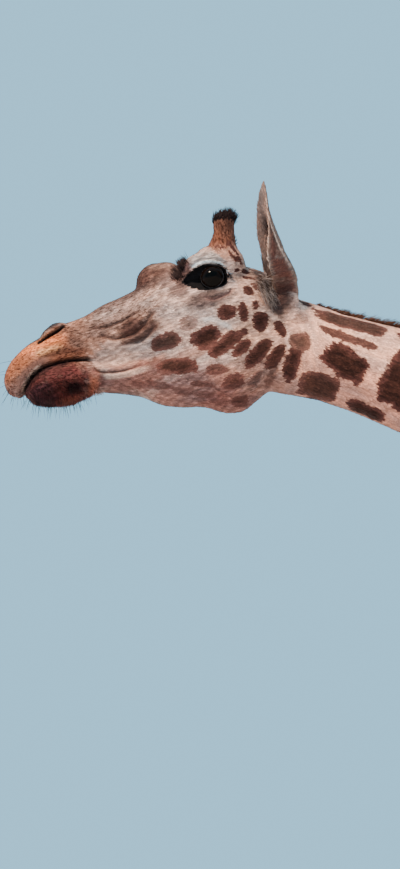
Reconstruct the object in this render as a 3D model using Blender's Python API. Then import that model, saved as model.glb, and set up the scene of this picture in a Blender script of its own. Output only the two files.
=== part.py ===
"""A life-size giraffe that stands still and stretches its neck forward, as a set of closed solids.

The animal faces -X and its left side is -Y. The floor is z = 0 and the origin lies on it, under the
middle of the animal. Every body part is lofted through oval sections. The flesh is then joined by a
voxel remesh, smoothed where parts meet, and parted again into named nodes by thin plane cuts.
"""

import math

import bmesh
import bpy
import numpy as np
from mathutils import Matrix, Vector

# Driving dimensions, in metres and degrees.
SHOULDER_X = 0.2265  # puts the origin under the middle of the animal from muzzle to tail
MUZZLE_TIP = (-2.42, 3.71)  # x from the shoulder, and height
HEAD_PITCH = math.radians(16.4)  # the nose hangs this far below the poll
NECK_LENGTH = 2.05
NECK_ROOT = (0.66, 0.09)  # the neck's first point, back and up from the muzzle tip
NECK_SLOPES = (math.radians(16), math.radians(53))  # below the horizontal, at the head and at the chest
EYE_RADIUS = 0.030
EYE_AT = (0.528, 0.092, 0.076)
MOUNT_GAP = 0.0005
CUT_GAP = 0.001
WELD = 0.0001
VOXEL = 0.008
LEG_CUT_HEIGHT = 1.73
HOOF_TOP = 0.135
TOE_GAP = 0.008
NECK_MIDDLE = 1.0  # where the neck is parted, from the head
TAIL_ROOT_X = 1.80
TAIL_END = 1.58
EAR_WALL = 0.007
EAR_LEAN = {"left": 0.0, "right": 0.042}  # how far back each tip is turned
MANE_ROOT = 0.02  # how far the mane's form reaches into the neck before it is cut back
STANCE = {"fore_left": -0.07, "fore_right": 0.05, "hind_left": 0.08, "hind_right": -0.07}

# Head sections in the head's own frame: x back from the muzzle tip along the line to the poll, z up
# from that line. Each row is x, top, bottom, then half-widths from the bottom edge to the top edge.
UPPER_HEAD = (
    (0.000, 0.018, -0.024, 0.022, 0.026, 0.028, 0.026, 0.022),
    (0.010, 0.033, -0.038, 0.038, 0.043, 0.044, 0.042, 0.036),
    (0.030, 0.049, -0.046, 0.050, 0.056, 0.056, 0.052, 0.046),
    (0.060, 0.064, -0.026, 0.057, 0.062, 0.060, 0.055, 0.048),
    (0.100, 0.084, -0.008, 0.058, 0.064, 0.063, 0.057, 0.050),
    (0.145, 0.100, -0.006, 0.058, 0.064, 0.063, 0.057, 0.050),
    (0.185, 0.096, -0.013, 0.052, 0.058, 0.058, 0.052, 0.044),
    (0.225, 0.101, -0.040, 0.050, 0.056, 0.057, 0.050, 0.042),
    (0.270, 0.115, -0.062, 0.050, 0.058, 0.060, 0.053, 0.044),
    (0.320, 0.122, -0.070, 0.054, 0.066, 0.070, 0.064, 0.052),
    (0.380, 0.134, -0.085, 0.060, 0.077, 0.086, 0.082, 0.066),
    (0.440, 0.142, -0.105, 0.066, 0.086, 0.098, 0.098, 0.082),
    (0.500, 0.142, -0.120, 0.070, 0.092, 0.106, 0.110, 0.096),
    (0.550, 0.136, -0.128, 0.072, 0.094, 0.107, 0.111, 0.098),
    (0.600, 0.122, -0.130, 0.070, 0.091, 0.100, 0.098, 0.086),
    (0.650, 0.098, -0.125, 0.066, 0.086, 0.092, 0.086, 0.070),
    (0.695, 0.050, -0.115, 0.060, 0.078, 0.082, 0.074, 0.058),
    (0.730, -0.020, -0.105, 0.045, 0.055, 0.055, 0.050, 0.040),
)
LOWER_JAW = (
    (0.043, -0.036, -0.054, 0.020, 0.022, 0.022, 0.022, 0.020),
    (0.052, -0.022, -0.066, 0.034, 0.038, 0.038, 0.036, 0.032),
    (0.070, -0.006, -0.081, 0.046, 0.052, 0.052, 0.048, 0.044),
    (0.100, 0.008, -0.091, 0.052, 0.058, 0.058, 0.054, 0.050),
    (0.135, 0.014, -0.099, 0.052, 0.058, 0.058, 0.054, 0.050),
    (0.165, 0.008, -0.094, 0.047, 0.052, 0.052, 0.050, 0.046),
    (0.192, -0.004, -0.083, 0.040, 0.045, 0.047, 0.046, 0.042),
    (0.230, -0.022, -0.094, 0.038, 0.044, 0.046, 0.046, 0.042),
    (0.300, -0.034, -0.125, 0.040, 0.048, 0.050, 0.050, 0.046),
    (0.340, -0.034, -0.158, 0.040, 0.052, 0.056, 0.056, 0.052),
    (0.380, -0.030, -0.176, 0.041, 0.056, 0.062, 0.063, 0.060),
    (0.430, -0.024, -0.190, 0.042, 0.060, 0.069, 0.071, 0.067),
    (0.480, -0.015, -0.222, 0.042, 0.062, 0.074, 0.078, 0.074),
    (0.515, -0.010, -0.230, 0.042, 0.062, 0.074, 0.080, 0.076),
    (0.555, -0.010, -0.216, 0.040, 0.058, 0.070, 0.076, 0.072),
    (0.600, -0.020, -0.196, 0.034, 0.050, 0.060, 0.064, 0.060),
)
SECTION_HEIGHTS = (0.08, 0.3, 0.5, 0.7, 0.92)  # where across a head section those half-widths lie

# Neck sections: distance from the head, half-depth, half-width.
NECK = (
    (-0.10, 0.100, 0.066),
    (0.00, 0.116, 0.078),
    (0.12, 0.108, 0.080),
    (0.20, 0.111, 0.082),
    (0.30, 0.121, 0.086),
    (0.60, 0.150, 0.099),
    (1.00, 0.188, 0.118),
    (1.40, 0.248, 0.150),
    (1.70, 0.325, 0.188),
    (1.90, 0.390, 0.220),
    (2.05, 0.430, 0.240),
    (2.25, 0.430, 0.250),
    (2.45, 0.380, 0.235),
)
# Trunk sections: x, top, bottom, half-width.
TRUNK = (
    (-0.415, 2.42, 2.14, 0.170),
    (-0.37, 2.52, 2.05, 0.200),
    (-0.27, 2.68, 1.95, 0.232),
    (-0.10, 2.90, 1.855, 0.258),
    (0.10, 3.03, 1.79, 0.280),
    (0.25, 3.00, 1.775, 0.296),
    (0.45, 2.90, 1.775, 0.315),
    (0.75, 2.79, 1.80, 0.328),
    (1.05, 2.71, 1.85, 0.322),
    (1.30, 2.65, 1.92, 0.298),
    (1.52, 2.57, 1.98, 0.258),
    (1.70, 2.45, 2.06, 0.190),
    (1.79, 2.34, 2.14, 0.100),
)
# Leg sections from the body down: height, x, y, half-length, half-width.
FORELEG = (
    (2.62, 0.16, 0.150, 0.130, 0.085),
    (2.40, 0.08, 0.180, 0.180, 0.110),
    (2.15, 0.00, 0.190, 0.200, 0.120),
    (1.95, 0.01, 0.195, 0.180, 0.115),
    (1.78, 0.05, 0.200, 0.145, 0.102),
    (1.60, 0.05, 0.202, 0.112, 0.086),
    (1.35, 0.03, 0.205, 0.084, 0.068),
    (1.15, 0.01, 0.205, 0.067, 0.058),
    (1.04, 0.000, 0.205, 0.073, 0.064),
    (0.96, -0.004, 0.205, 0.075, 0.066),
    (0.87, 0.004, 0.205, 0.060, 0.055),
    (0.74, 0.012, 0.205, 0.047, 0.042),
    (0.50, 0.012, 0.205, 0.045, 0.039),
    (0.35, 0.010, 0.205, 0.050, 0.044),
    (0.275, 0.014, 0.205, 0.064, 0.057),
    (0.20, -0.008, 0.205, 0.056, 0.055),
    (0.12, -0.034, 0.205, 0.068, 0.066),
)
HIND_LEG = (
    (2.48, 1.42, 0.110, 0.240, 0.090),
    (2.25, 1.43, 0.150, 0.315, 0.120),
    (2.02, 1.42, 0.172, 0.295, 0.118),
    (1.82, 1.41, 0.185, 0.225, 0.104),
    (1.64, 1.43, 0.188, 0.150, 0.084),
    (1.44, 1.49, 0.190, 0.100, 0.062),
    (1.26, 1.550, 0.190, 0.076, 0.050),
    (1.14, 1.580, 0.190, 0.081, 0.052),
    (1.04, 1.575, 0.190, 0.074, 0.051),
    (0.92, 1.558, 0.190, 0.058, 0.044),
    (0.75, 1.550, 0.190, 0.050, 0.040),
    (0.50, 1.542, 0.190, 0.047, 0.038),
    (0.35, 1.536, 0.190, 0.051, 0.043),
    (0.275, 1.538, 0.190, 0.062, 0.054),
    (0.20, 1.514, 0.190, 0.055, 0.053),
    (0.12, 1.490, 0.190, 0.066, 0.063),
)
# Tail: x, height, radius.
TAIL = (
    (1.62, 2.46, 0.050),
    (1.74, 2.42, 0.047),
    (1.82, 2.33, 0.038),
    (1.87, 2.14, 0.029),
    (1.89, 1.85, 0.022),
    (1.90, 1.62, 0.018),
    (1.90, 1.50, 0.015),
)
# Tail tuft: height, half-length, half-width.
TAIL_TUFT = (
    (1.60, 0.022, 0.022),
    (1.52, 0.036, 0.034),
    (1.36, 0.060, 0.052),
    (1.15, 0.068, 0.058),
    (0.98, 0.050, 0.042),
    (0.86, 0.020, 0.018),
)

# Ossicone: share of its length, then x, y, z in the head's frame, and radius.
OSSICONE = (
    (0.00, 0.576, 0.056, 0.095, 0.036),
    (0.25, 0.581, 0.062, 0.125, 0.033),
    (0.50, 0.587, 0.069, 0.155, 0.0295),
    (0.75, 0.594, 0.077, 0.187, 0.0275),
    (0.90, 0.599, 0.082, 0.207, 0.0290),
    (1.00, 0.603, 0.085, 0.222, 0.021),
)
# Ear: share of its length, then x, y, z of its middle line in the head's frame, its depth from front
# to back, its width, half the arc that its wall covers, and how far the opening turns outward.
EAR = (
    (0.00, 0.688, 0.046, -0.024, 0.026, 0.020, 140, 0),
    (0.17, 0.683, 0.092, 0.036, 0.042, 0.030, 130, -4),
    (0.33, 0.667, 0.122, 0.088, 0.046, 0.036, 104, -10),
    (0.50, 0.666, 0.146, 0.132, 0.037, 0.036, 86, -22),
    (0.70, 0.675, 0.170, 0.176, 0.024, 0.028, 74, -36),
    (0.87, 0.688, 0.188, 0.211, 0.014, 0.017, 66, -48),
    (1.00, 0.701, 0.198, 0.236, 0.003, 0.003, 60, -55),
)
# Toe: height, then its front and back along x and its half-width.
TOE = (
    (0.000, -0.140, 0.084, 0.046),
    (0.030, -0.124, 0.088, 0.046),
    (0.070, -0.101, 0.085, 0.043),
    (0.105, -0.083, 0.076, 0.038),
    (0.135, -0.070, 0.064, 0.032),
)
# Mane: distance from the head along the neck, height of the hair and half its thickness.
MANE = (
    (0.06, 0.004, 0.005),
    (0.16, 0.016, 0.009),
    (0.40, 0.030, 0.012),
    (0.80, 0.055, 0.014),
    (1.30, 0.062, 0.015),
    (1.65, 0.045, 0.013),
    (1.90, 0.006, 0.006),
)


def clear_scene():
    for obj in list(bpy.data.objects):
        bpy.data.objects.remove(obj, do_unlink=True)


def material(name, colour, roughness):
    """A Principled material with one colour and roughness."""
    made = bpy.data.materials.new(name)
    made.use_nodes = True
    shader = made.node_tree.nodes["Principled BSDF"]
    shader.inputs["Base Color"].default_value = (*colour, 1.0)
    shader.inputs["Roughness"].default_value = roughness
    shader.inputs["Metallic"].default_value = 0.0
    return made


def smooth_curve(keys, values, at):
    """Cubic interpolation through keyed rows that never overshoots them."""
    keys = np.asarray(keys, float)
    values = np.asarray(values, float).reshape(len(keys), -1)
    at = np.clip(np.asarray(at, float), keys[0], keys[-1])
    step = np.diff(keys)[:, None]
    slope = np.diff(values, axis=0) / step
    tangent = np.zeros_like(values)
    tangent[0], tangent[-1] = slope[0], slope[-1]
    same_way = slope[:-1] * slope[1:] > 0
    mean = 2 * slope[:-1] * slope[1:] / np.where(same_way, slope[:-1] + slope[1:], 1)
    tangent[1:-1] = np.where(same_way, mean, 0)
    i = np.clip(np.searchsorted(keys, at, side="right") - 1, 0, len(keys) - 2)
    t = ((at - keys[i]) / (keys[i + 1] - keys[i]))[:, None]
    h = (keys[i + 1] - keys[i])[:, None]
    return (
        (2 * t**3 - 3 * t**2 + 1) * values[i]
        + (t**3 - 2 * t**2 + t) * h * tangent[i]
        + (3 * t**2 - 2 * t**3) * values[i + 1]
        + (t**3 - t**2) * h * tangent[i + 1]
    )


def sample(rows, at):
    """The columns of a table, read smoothly at positions along its first column."""
    rows = np.array(rows)
    return smooth_curve(rows[:, 0], rows[:, 1:], at).T


def new_object(name, mesh):
    obj = bpy.data.objects.new(name, mesh)
    bpy.context.scene.collection.objects.link(obj)
    return obj


def ring_mesh(name, rings):
    """A closed mesh through rings of points, shaped (ring, point, xyz), with a flat cap at each end."""
    count, around = rings.shape[:2]
    mesh = bmesh.new()
    verts = [[mesh.verts.new(p) for p in ring] for ring in rings]
    for a, b in zip(verts, verts[1:]):
        for j in range(around):
            k = (j + 1) % around
            mesh.faces.new((a[j], a[k], b[k], b[j]))
    mesh.faces.new(list(reversed(verts[0])))
    mesh.faces.new(verts[count - 1])
    bmesh.ops.recalc_face_normals(mesh, faces=mesh.faces)
    data = bpy.data.meshes.new(name)
    mesh.to_mesh(data)
    mesh.free()
    return new_object(name, data)


def oval(half_a, half_b, around, power=2.0):
    """Points round a superellipse, shaped (ring, point, 2)."""
    turn = np.linspace(0, 2 * math.pi, around, endpoint=False)
    c, s = np.cos(turn), np.sin(turn)
    a = np.sign(c) * np.abs(c) ** (2 / power)
    b = np.sign(s) * np.abs(s) ** (2 / power)
    return np.stack([np.outer(half_a, a), np.outer(half_b, b)], axis=-1)


def head_to_world(points):
    """Head-frame points (x back, y, z up) as world points."""
    points = np.asarray(points, float)
    c, s = math.cos(HEAD_PITCH), math.sin(HEAD_PITCH)
    x, y, z = points[..., 0], points[..., 1], points[..., 2]
    return np.stack(
        [MUZZLE_TIP[0] + SHOULDER_X + x * c - z * s, y, MUZZLE_TIP[1] + x * s + z * c], axis=-1
    )


def head_loft(name, sections, steps=60, around=64):
    """A head form whose outline is set by half-widths at several heights of each section."""
    x = np.linspace(sections[0][0], sections[-1][0], steps)
    top, bottom, *widths = sample(sections, x)
    turn = np.linspace(-math.pi / 2, 1.5 * math.pi, around, endpoint=False)
    height = (1 + np.sin(turn)) / 2
    widths = np.array(widths)
    across = smooth_curve(SECTION_HEIGHTS, widths, height).T
    rounding = np.abs(np.cos(turn)) ** 0.8
    y = across * rounding * np.sign(np.cos(turn))
    z = bottom[:, None] + (top - bottom)[:, None] * height
    rings = np.stack([np.repeat(x[:, None], around, axis=1), y, z], axis=-1)
    return ring_mesh(name, head_to_world(rings))


def neck_line(distance):
    """Centre and backward direction of the neck at each distance from the head."""
    fine = np.linspace(-0.12, NECK[-1][0], 400)
    share = np.clip(fine / NECK_LENGTH, 0, 1)
    slope = NECK_SLOPES[0] + (NECK_SLOPES[1] - NECK_SLOPES[0]) * share**1.1
    run = np.gradient(fine)
    x, z = np.cumsum(np.cos(slope) * run), np.cumsum(-np.sin(slope) * run)
    start = np.interp(0, fine, x), np.interp(0, fine, z)
    root = (MUZZLE_TIP[0] + NECK_ROOT[0] + SHOULDER_X, MUZZLE_TIP[1] + NECK_ROOT[1])
    centre = np.stack(
        [
            root[0] + np.interp(distance, fine, x) - start[0],
            np.zeros_like(distance),
            root[1] + np.interp(distance, fine, z) - start[1],
        ],
        axis=-1,
    )
    angle = np.interp(distance, fine, slope)
    back = np.stack([np.cos(angle), np.zeros_like(angle), -np.sin(angle)], axis=-1)
    return centre, back


def neck_loft(steps=70, around=48):
    s = np.linspace(NECK[0][0], NECK[-1][0], steps)
    depth, width = sample(NECK, s)
    centre, back = neck_line(s)
    up = np.stack([-back[:, 2], np.zeros(steps), back[:, 0]], axis=-1)
    shape = oval(width, depth, around, 2.15)
    rings = centre[:, None] + shape[..., :1] * np.array([0, 1, 0]) + shape[..., 1:] * up[:, None]
    return ring_mesh("neck_form", rings)


def trunk_loft(steps=70, around=64):
    x = np.linspace(TRUNK[0][0], TRUNK[-1][0], steps)
    top, bottom, width = sample(TRUNK, x)
    shape = oval(width, (top - bottom) / 2, around, 2.25)
    narrow_top = 1 - 0.30 * np.clip(shape[..., 1] / ((top - bottom) / 2)[:, None], 0, 1) ** 1.5
    rings = np.stack(
        [
            np.repeat(x[:, None] + SHOULDER_X, around, axis=1),
            shape[..., 0] * narrow_top,
            ((top + bottom) / 2)[:, None] + shape[..., 1],
        ],
        axis=-1,
    )
    return ring_mesh("trunk_form", rings)


def leg_loft(name, sections, side, step_forward, steps=90, around=32):
    """A leg from inside the body to the hoof. The whole leg leans so that its foot moves along x."""
    z = np.linspace(sections[-1][0], sections[0][0], steps)
    x, y, length, width = sample(sections[::-1], z)
    x = x + step_forward * np.clip(1 - z / 2.1, 0, 1) + SHOULDER_X
    shape = oval(length, width, around, 2.1)
    rings = np.stack(
        [
            x[:, None] + shape[..., 0],
            side * (y[:, None] + shape[..., 1]),
            np.repeat(z[:, None], around, axis=1),
        ],
        axis=-1,
    )
    return ring_mesh(name, rings)


def tail_loft(steps=40, around=20):
    rows = np.array(TAIL)
    t = np.linspace(0, len(rows) - 1, steps)
    x, z, radius = smooth_curve(np.arange(len(rows)), rows, t).T
    along = np.stack([np.gradient(x), np.gradient(z)], axis=-1)
    along /= np.linalg.norm(along, axis=1)[:, None]
    shape = oval(radius, radius, around)
    rings = np.stack(
        [
            (x + SHOULDER_X)[:, None] + shape[..., 0] * along[:, 1:],
            shape[..., 1],
            z[:, None] - shape[..., 0] * along[:, :1],
        ],
        axis=-1,
    )
    return ring_mesh("tail_form", rings)


def ellipsoid(name, centre, radii, place=head_to_world):
    """An ellipsoid given in the head's frame."""
    mesh = bmesh.new()
    bmesh.ops.create_uvsphere(mesh, u_segments=24, v_segments=16, radius=1.0)
    for v in mesh.verts:
        local = [centre[i] + radii[i] * v.co[i] for i in range(3)]
        v.co = place(local)
    data = bpy.data.meshes.new(name)
    mesh.to_mesh(data)
    mesh.free()
    return new_object(name, data)


def head_swellings():
    """The forehead's bump, the brows, the cheekbones and the roots of the ears and ossicones."""
    made = [ellipsoid("bump_form", (0.413, 0.0, 0.128), (0.053, 0.044, 0.056))]
    for side in (-1, 1):
        made += [
            ellipsoid("brow_form", (0.540, side * 0.088, 0.106), (0.062, 0.033, 0.034)),
            ellipsoid("cheek_form", (0.520, side * 0.082, 0.030), (0.090, 0.026, 0.026)),
            ellipsoid("jaw_form", (0.525, side * 0.052, -0.115), (0.080, 0.034, 0.092)),
            ellipsoid("nostril_form", (0.135, side * 0.036, 0.072), (0.046, 0.024, 0.027)),
            ellipsoid("ossicone_root_form", (0.578, side * 0.060, 0.110), (0.047, 0.043, 0.056)),
            ellipsoid("ear_root_form", (0.685, side * 0.066, 0.000), (0.036, 0.030, 0.050)),
        ]
    return made


def join_objects(name, objects):
    """Several meshes as one object."""
    mesh = bmesh.new()
    for obj in objects:
        mesh.from_mesh(obj.data)
        bpy.data.objects.remove(obj, do_unlink=True)
    data = bpy.data.meshes.new(name)
    mesh.to_mesh(data)
    mesh.free()
    return new_object(name, data)


def apply_modifiers(obj):
    """Bakes an object's modifiers into its mesh."""
    graph = bpy.context.evaluated_depsgraph_get()
    mesh = bpy.data.meshes.new_from_object(obj.evaluated_get(graph))
    obj.modifiers.clear()
    obj.data = mesh


def voxel_union(obj, size):
    remesh = obj.modifiers.new("union", "REMESH")
    remesh.mode = "VOXEL"
    remesh.voxel_size = size
    apply_modifiers(obj)


def points_of(obj):
    flat = np.empty(len(obj.data.vertices) * 3, np.float32)
    obj.data.vertices.foreach_get("co", flat)
    return flat.reshape(-1, 3).astype(float)


def set_points(obj, points):
    obj.data.vertices.foreach_set("co", points.astype(np.float32).ravel())
    obj.data.update()


def relax(obj, passes, strength):
    """Laplacian smoothing, as strong at each vertex as strength says there."""
    edges = np.empty(len(obj.data.edges) * 2, np.int32)
    obj.data.edges.foreach_get("vertices", edges)
    a, b = edges.reshape(-1, 2).T
    points = points_of(obj)
    count = np.bincount(a, minlength=len(points)) + np.bincount(b, minlength=len(points))
    pull = strength(points)[:, None]
    for _ in range(passes):
        total = np.zeros_like(points)
        for axis in range(3):
            total[:, axis] = np.bincount(a, points[b, axis], len(points))
            total[:, axis] += np.bincount(b, points[a, axis], len(points))
        points += pull * (total / count[:, None] - points)
    set_points(obj, points)


def nearness(points, centre, reach):
    """1 at a centre, falling smoothly to 0 at the reach."""
    away = np.linalg.norm((points - centre) / np.asarray(reach), axis=1)
    return np.clip(1 - away**2, 0, 1) ** 2


def blend_strength(points):
    """Strong smoothing where limbs and neck join the trunk, light elsewhere."""
    strength = np.full(len(points), 0.06)
    x = points - np.array([SHOULDER_X, 0, 0])
    for side in (-1, 1):
        strength += 0.55 * nearness(x, (0.05, side * 0.24, 2.15), (0.55, 0.30, 0.75))
        strength += 0.55 * nearness(x, (1.42, side * 0.24, 2.10), (0.55, 0.30, 0.62))
    strength += 0.55 * nearness(x, (-0.20, 0.0, 2.50), (0.75, 0.60, 0.80))
    strength += 0.30 * nearness(x, (1.78, 0.0, 2.38), (0.18, 0.20, 0.22))
    return np.clip(strength, 0, 0.6)


def flesh():
    """Head, neck, trunk, legs and tail as one smooth closed body."""
    forms = [
        head_loft("upper_head_form", UPPER_HEAD),
        head_loft("lower_jaw_form", LOWER_JAW),
        neck_loft(),
        trunk_loft(),
        tail_loft(),
    ]
    forms += head_swellings()
    for name, sections, side in (
        ("fore_left", FORELEG, -1),
        ("fore_right", FORELEG, 1),
        ("hind_left", HIND_LEG, -1),
        ("hind_right", HIND_LEG, 1),
    ):
        forms.append(leg_loft(name + "_form", sections, side, STANCE[name]))
    body = join_objects("flesh", forms)
    voxel_union(body, VOXEL)
    relax(body, 100, blend_strength)
    return body


def slice_off(obj, point, normal):
    """Cuts away what lies ahead of a plane along its normal, and closes the cuts."""
    mesh = bmesh.new()
    mesh.from_mesh(obj.data)
    bmesh.ops.bisect_plane(
        mesh,
        geom=mesh.verts[:] + mesh.edges[:] + mesh.faces[:],
        dist=1e-6,
        plane_co=point,
        plane_no=normal,
        clear_outer=True,
    )
    rim = [edge for edge in mesh.edges if edge.is_boundary]
    bmesh.ops.holes_fill(mesh, edges=rim, sides=0)
    mesh.to_mesh(obj.data)
    mesh.free()
    obj.data.update()


def part_at(obj, name, point, normal):
    """Parts an object at a plane. What lies ahead of the plane becomes the named object, past a thin gap."""
    point, normal = Vector(point), Vector(normal).normalized()
    ahead = new_object(name, obj.data.copy())
    slice_off(obj, point - normal * CUT_GAP / 2, normal)
    slice_off(ahead, point + normal * CUT_GAP / 2, -normal)
    return ahead


def loose_pieces(obj):
    """The separate bodies of a mesh, each as its own object."""
    mesh = bmesh.new()
    mesh.from_mesh(obj.data)
    mesh.verts.ensure_lookup_table()
    group = {}
    for seed in mesh.verts:
        if seed in group:
            continue
        label, todo = seed.index, [seed]
        group[seed] = label
        while todo:
            for edge in todo.pop().link_edges:
                for v in edge.verts:
                    if v not in group:
                        group[v] = label
                        todo.append(v)
    made = []
    for label in sorted(set(group.values())):
        piece = mesh.copy()
        piece.verts.ensure_lookup_table()
        outside = [piece.verts[v.index] for v in mesh.verts if group[v] != label]
        bmesh.ops.delete(piece, geom=outside, context="VERTS")
        data = bpy.data.meshes.new("piece")
        piece.to_mesh(data)
        piece.free()
        made.append(new_object("piece", data))
    mesh.free()
    bpy.data.objects.remove(obj, do_unlink=True)
    return made


def simplify(obj, triangles, planes=()):
    """Fewer, larger facets, with every cut face kept exactly flat."""
    graph_mesh = obj.data
    graph_mesh.calc_loop_triangles()
    decimate = obj.modifiers.new("facets", "DECIMATE")
    decimate.ratio = triangles / len(graph_mesh.loop_triangles)
    apply_modifiers(obj)
    points = points_of(obj)
    for point, normal in planes:
        normal = np.array(Vector(normal).normalized())
        height = (points - np.array(point)) @ normal
        level = CUT_GAP / 2 * np.sign(height)
        flat = np.abs(height - level) < 0.003
        points[flat] += np.outer((level - height)[flat], normal)
    set_points(obj, points)


def grown_copy(obj, amount):
    """A hidden cutter: the same form, grown along its normals."""
    cutter = new_object(obj.name + "_cutter", obj.data.copy())
    normals = np.empty(len(cutter.data.vertices) * 3, np.float32)
    cutter.data.vertices.foreach_get("normal", normals)
    set_points(cutter, points_of(cutter) + amount * normals.reshape(-1, 3))
    hide(cutter)
    return cutter


def hide(cutter):
    cutter.hide_render = True
    cutter.display_type = "WIRE"


def subtract(obj, cutters):
    """Cuts the cutters' forms out of an object, and welds the slivers that the cut leaves."""
    for cutter in cutters:
        cut = obj.modifiers.new("cut", "BOOLEAN")
        cut.operation = "DIFFERENCE"
        cut.solver = "EXACT"
        cut.object = cutter
    apply_modifiers(obj)
    mesh = bmesh.new()
    mesh.from_mesh(obj.data)
    bmesh.ops.remove_doubles(mesh, verts=mesh.verts, dist=WELD)
    bmesh.ops.dissolve_degenerate(mesh, edges=mesh.edges, dist=WELD)
    mesh.to_mesh(obj.data)
    mesh.free()


def eye(side, name):
    mesh = bmesh.new()
    bmesh.ops.create_uvsphere(mesh, u_segments=14, v_segments=8, radius=EYE_RADIUS)
    x, y, z = EYE_AT
    bmesh.ops.translate(mesh, verts=mesh.verts, vec=head_to_world((x, side * y, z)))
    data = bpy.data.meshes.new(name)
    mesh.to_mesh(data)
    mesh.free()
    return new_object(name, data)


def ossicone(side, name, steps=7, around=12):
    """A skin-covered horn: a shaft that widens to its foot, with a thick knob, leaning out and back."""
    t = np.linspace(0, 1, steps)
    x, y, z, radius = sample(OSSICONE, t)
    shape = oval(radius, radius * 0.94, around)
    tilt = 0.20 * shape[..., 0]
    rings = np.stack([x[:, None] + shape[..., 0], side * (y[:, None] + shape[..., 1]), z[:, None] - tilt], -1)
    return ring_mesh(name, head_to_world(rings))


def ear(side, name, lean, steps=10, half=4):
    """A leaf-shaped half-tube. Its opening faces forward at the foot and turns outward to the tip."""
    t = np.linspace(0, 1, steps)
    x, y, z, deep, wide, arc, turn = sample(EAR, t)
    x = x + lean * t
    angle = np.radians(turn[:, None] + arc[:, None] * np.linspace(-1, 1, 2 * half))
    wall = np.minimum(EAR_WALL, 0.6 * deep)
    rim = 1 - 0.75 * np.abs(np.linspace(-1, 1, 2 * half)) ** 6
    rings = []
    for grow in (0, 1):
        back = deep[:, None] - grow * wall[:, None] * rim
        out = wide[:, None] - grow * wall[:, None] * rim
        ring = np.stack(
            [x[:, None] + back * np.cos(angle), y[:, None] + out * np.sin(angle), np.repeat(z[:, None], 2 * half, 1)],
            axis=-1,
        )
        rings.append(ring[:, ::-1] if grow else ring)
    ring = np.concatenate(rings, axis=1)
    ring[..., 1] *= side
    return ring_mesh(name, head_to_world(ring))


def toe(leg_x, leg_y, side, name, steps=5, around=12):
    """One half of a cloven hoof, flat on the floor."""
    z = np.linspace(0, HOOF_TOP, steps)
    front, back, width = sample(TOE, z)
    shape = oval((back - front) / 2, width, around, 2.5)
    y = side * (width + TOE_GAP / 2)
    rings = np.stack(
        [
            leg_x + ((front + back) / 2)[:, None] + shape[..., 0],
            leg_y + y[:, None] + shape[..., 1],
            np.repeat(z[:, None], around, axis=1),
        ],
        axis=-1,
    )
    return ring_mesh(name, rings)


def mane(name, steps=17, around=6):
    """The upright ridge of stiff hair, from the poll to the withers."""
    s = np.linspace(MANE[0][0], MANE[-1][0], steps)
    height, width = sample(MANE, s)
    depth = sample(NECK, s)[0]
    centre, back = neck_line(s)
    up = np.stack([-back[:, 2], np.zeros(steps), back[:, 0]], axis=-1)
    shape = oval(width, (height + MANE_ROOT) / 2, around, 2.4)
    middle = centre + up * (depth + (height - MANE_ROOT) / 2)[:, None]
    rings = middle[:, None] + shape[..., :1] * np.array([0, 1, 0]) + shape[..., 1:] * up[:, None]
    return ring_mesh(name, rings)


def tail_tuft(name, steps=8, around=10):
    rows = TAIL_TUFT[::-1]
    z = np.linspace(rows[0][0], TAIL_END - CUT_GAP / 2, steps)
    length, width = sample(rows, z)
    shape = oval(length, width, around)
    x = TAIL[-1][0] + SHOULDER_X
    rings = np.stack([x + shape[..., 0], shape[..., 1], np.repeat(z[:, None], around, axis=1)], axis=-1)
    return ring_mesh(name, rings)


def cut_planes():
    """The thin cuts that part the flesh, each as a point and a normal that points at the named part."""
    neck, back = neck_line(np.array([0.03, NECK_MIDDLE]))
    return {
        "legs": ((0, 0, LEG_CUT_HEIGHT), (0, 0, -1)),
        "tail": ((TAIL_ROOT_X + SHOULDER_X, 0, 2.3), (1, 0, 0)),
        "tail_end": ((0, 0, TAIL_END), (0, 0, -1)),
        "neck": ((-0.23 + SHOULDER_X, 0, 2.60), (-0.925, 0, 0.38)),
        "upper_neck": (tuple(neck[1]), tuple(-back[1])),
        "head": (tuple(neck[0]), tuple(-back[0])),
        "hooves": ((0, 0, HOOF_TOP + CUT_GAP), (0, 0, -1)),
    }


def leg_name(piece):
    """Which leg a loose piece is, from where its middle lies."""
    middle = points_of(piece).mean(axis=0)
    end = "foreleg" if middle[0] < 0.5 else "hind_leg"
    return end + ("_left" if middle[1] < 0 else "_right")


def part_flesh(body):
    """The flesh as named nodes with light facets."""
    planes = cut_planes()
    tail = part_at(body, "tail", *planes["tail"])
    point, normal = planes["tail_end"]
    slice_off(tail, Vector(point) + Vector((0, 0, CUT_GAP / 2)), normal)
    simplify(tail, 150, [planes["tail"], planes["tail_end"]])
    legs = part_at(body, "legs", *planes["legs"])
    point, normal = planes["hooves"]
    slice_off(legs, point, normal)
    parts = {"tail": tail}
    for piece in loose_pieces(legs):
        piece.name = leg_name(piece)
        parts[piece.name] = piece
        simplify(piece, 440, [planes["legs"]])
    neck = part_at(body, "neck_lower", *planes["neck"])
    upper = part_at(neck, "neck_upper", *planes["upper_neck"])
    head = part_at(upper, "head", *planes["head"])
    body.name = "trunk"
    simplify(body, 1450, [planes["legs"], planes["tail"], planes["neck"]])
    simplify(neck, 460, [planes["neck"], planes["upper_neck"]])
    simplify(upper, 420, [planes["upper_neck"], planes["head"]])
    simplify(head, 2150, [planes["head"]])
    parts.update({"trunk": body, "neck_lower": neck, "neck_upper": upper, "head": head})
    return parts


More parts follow.
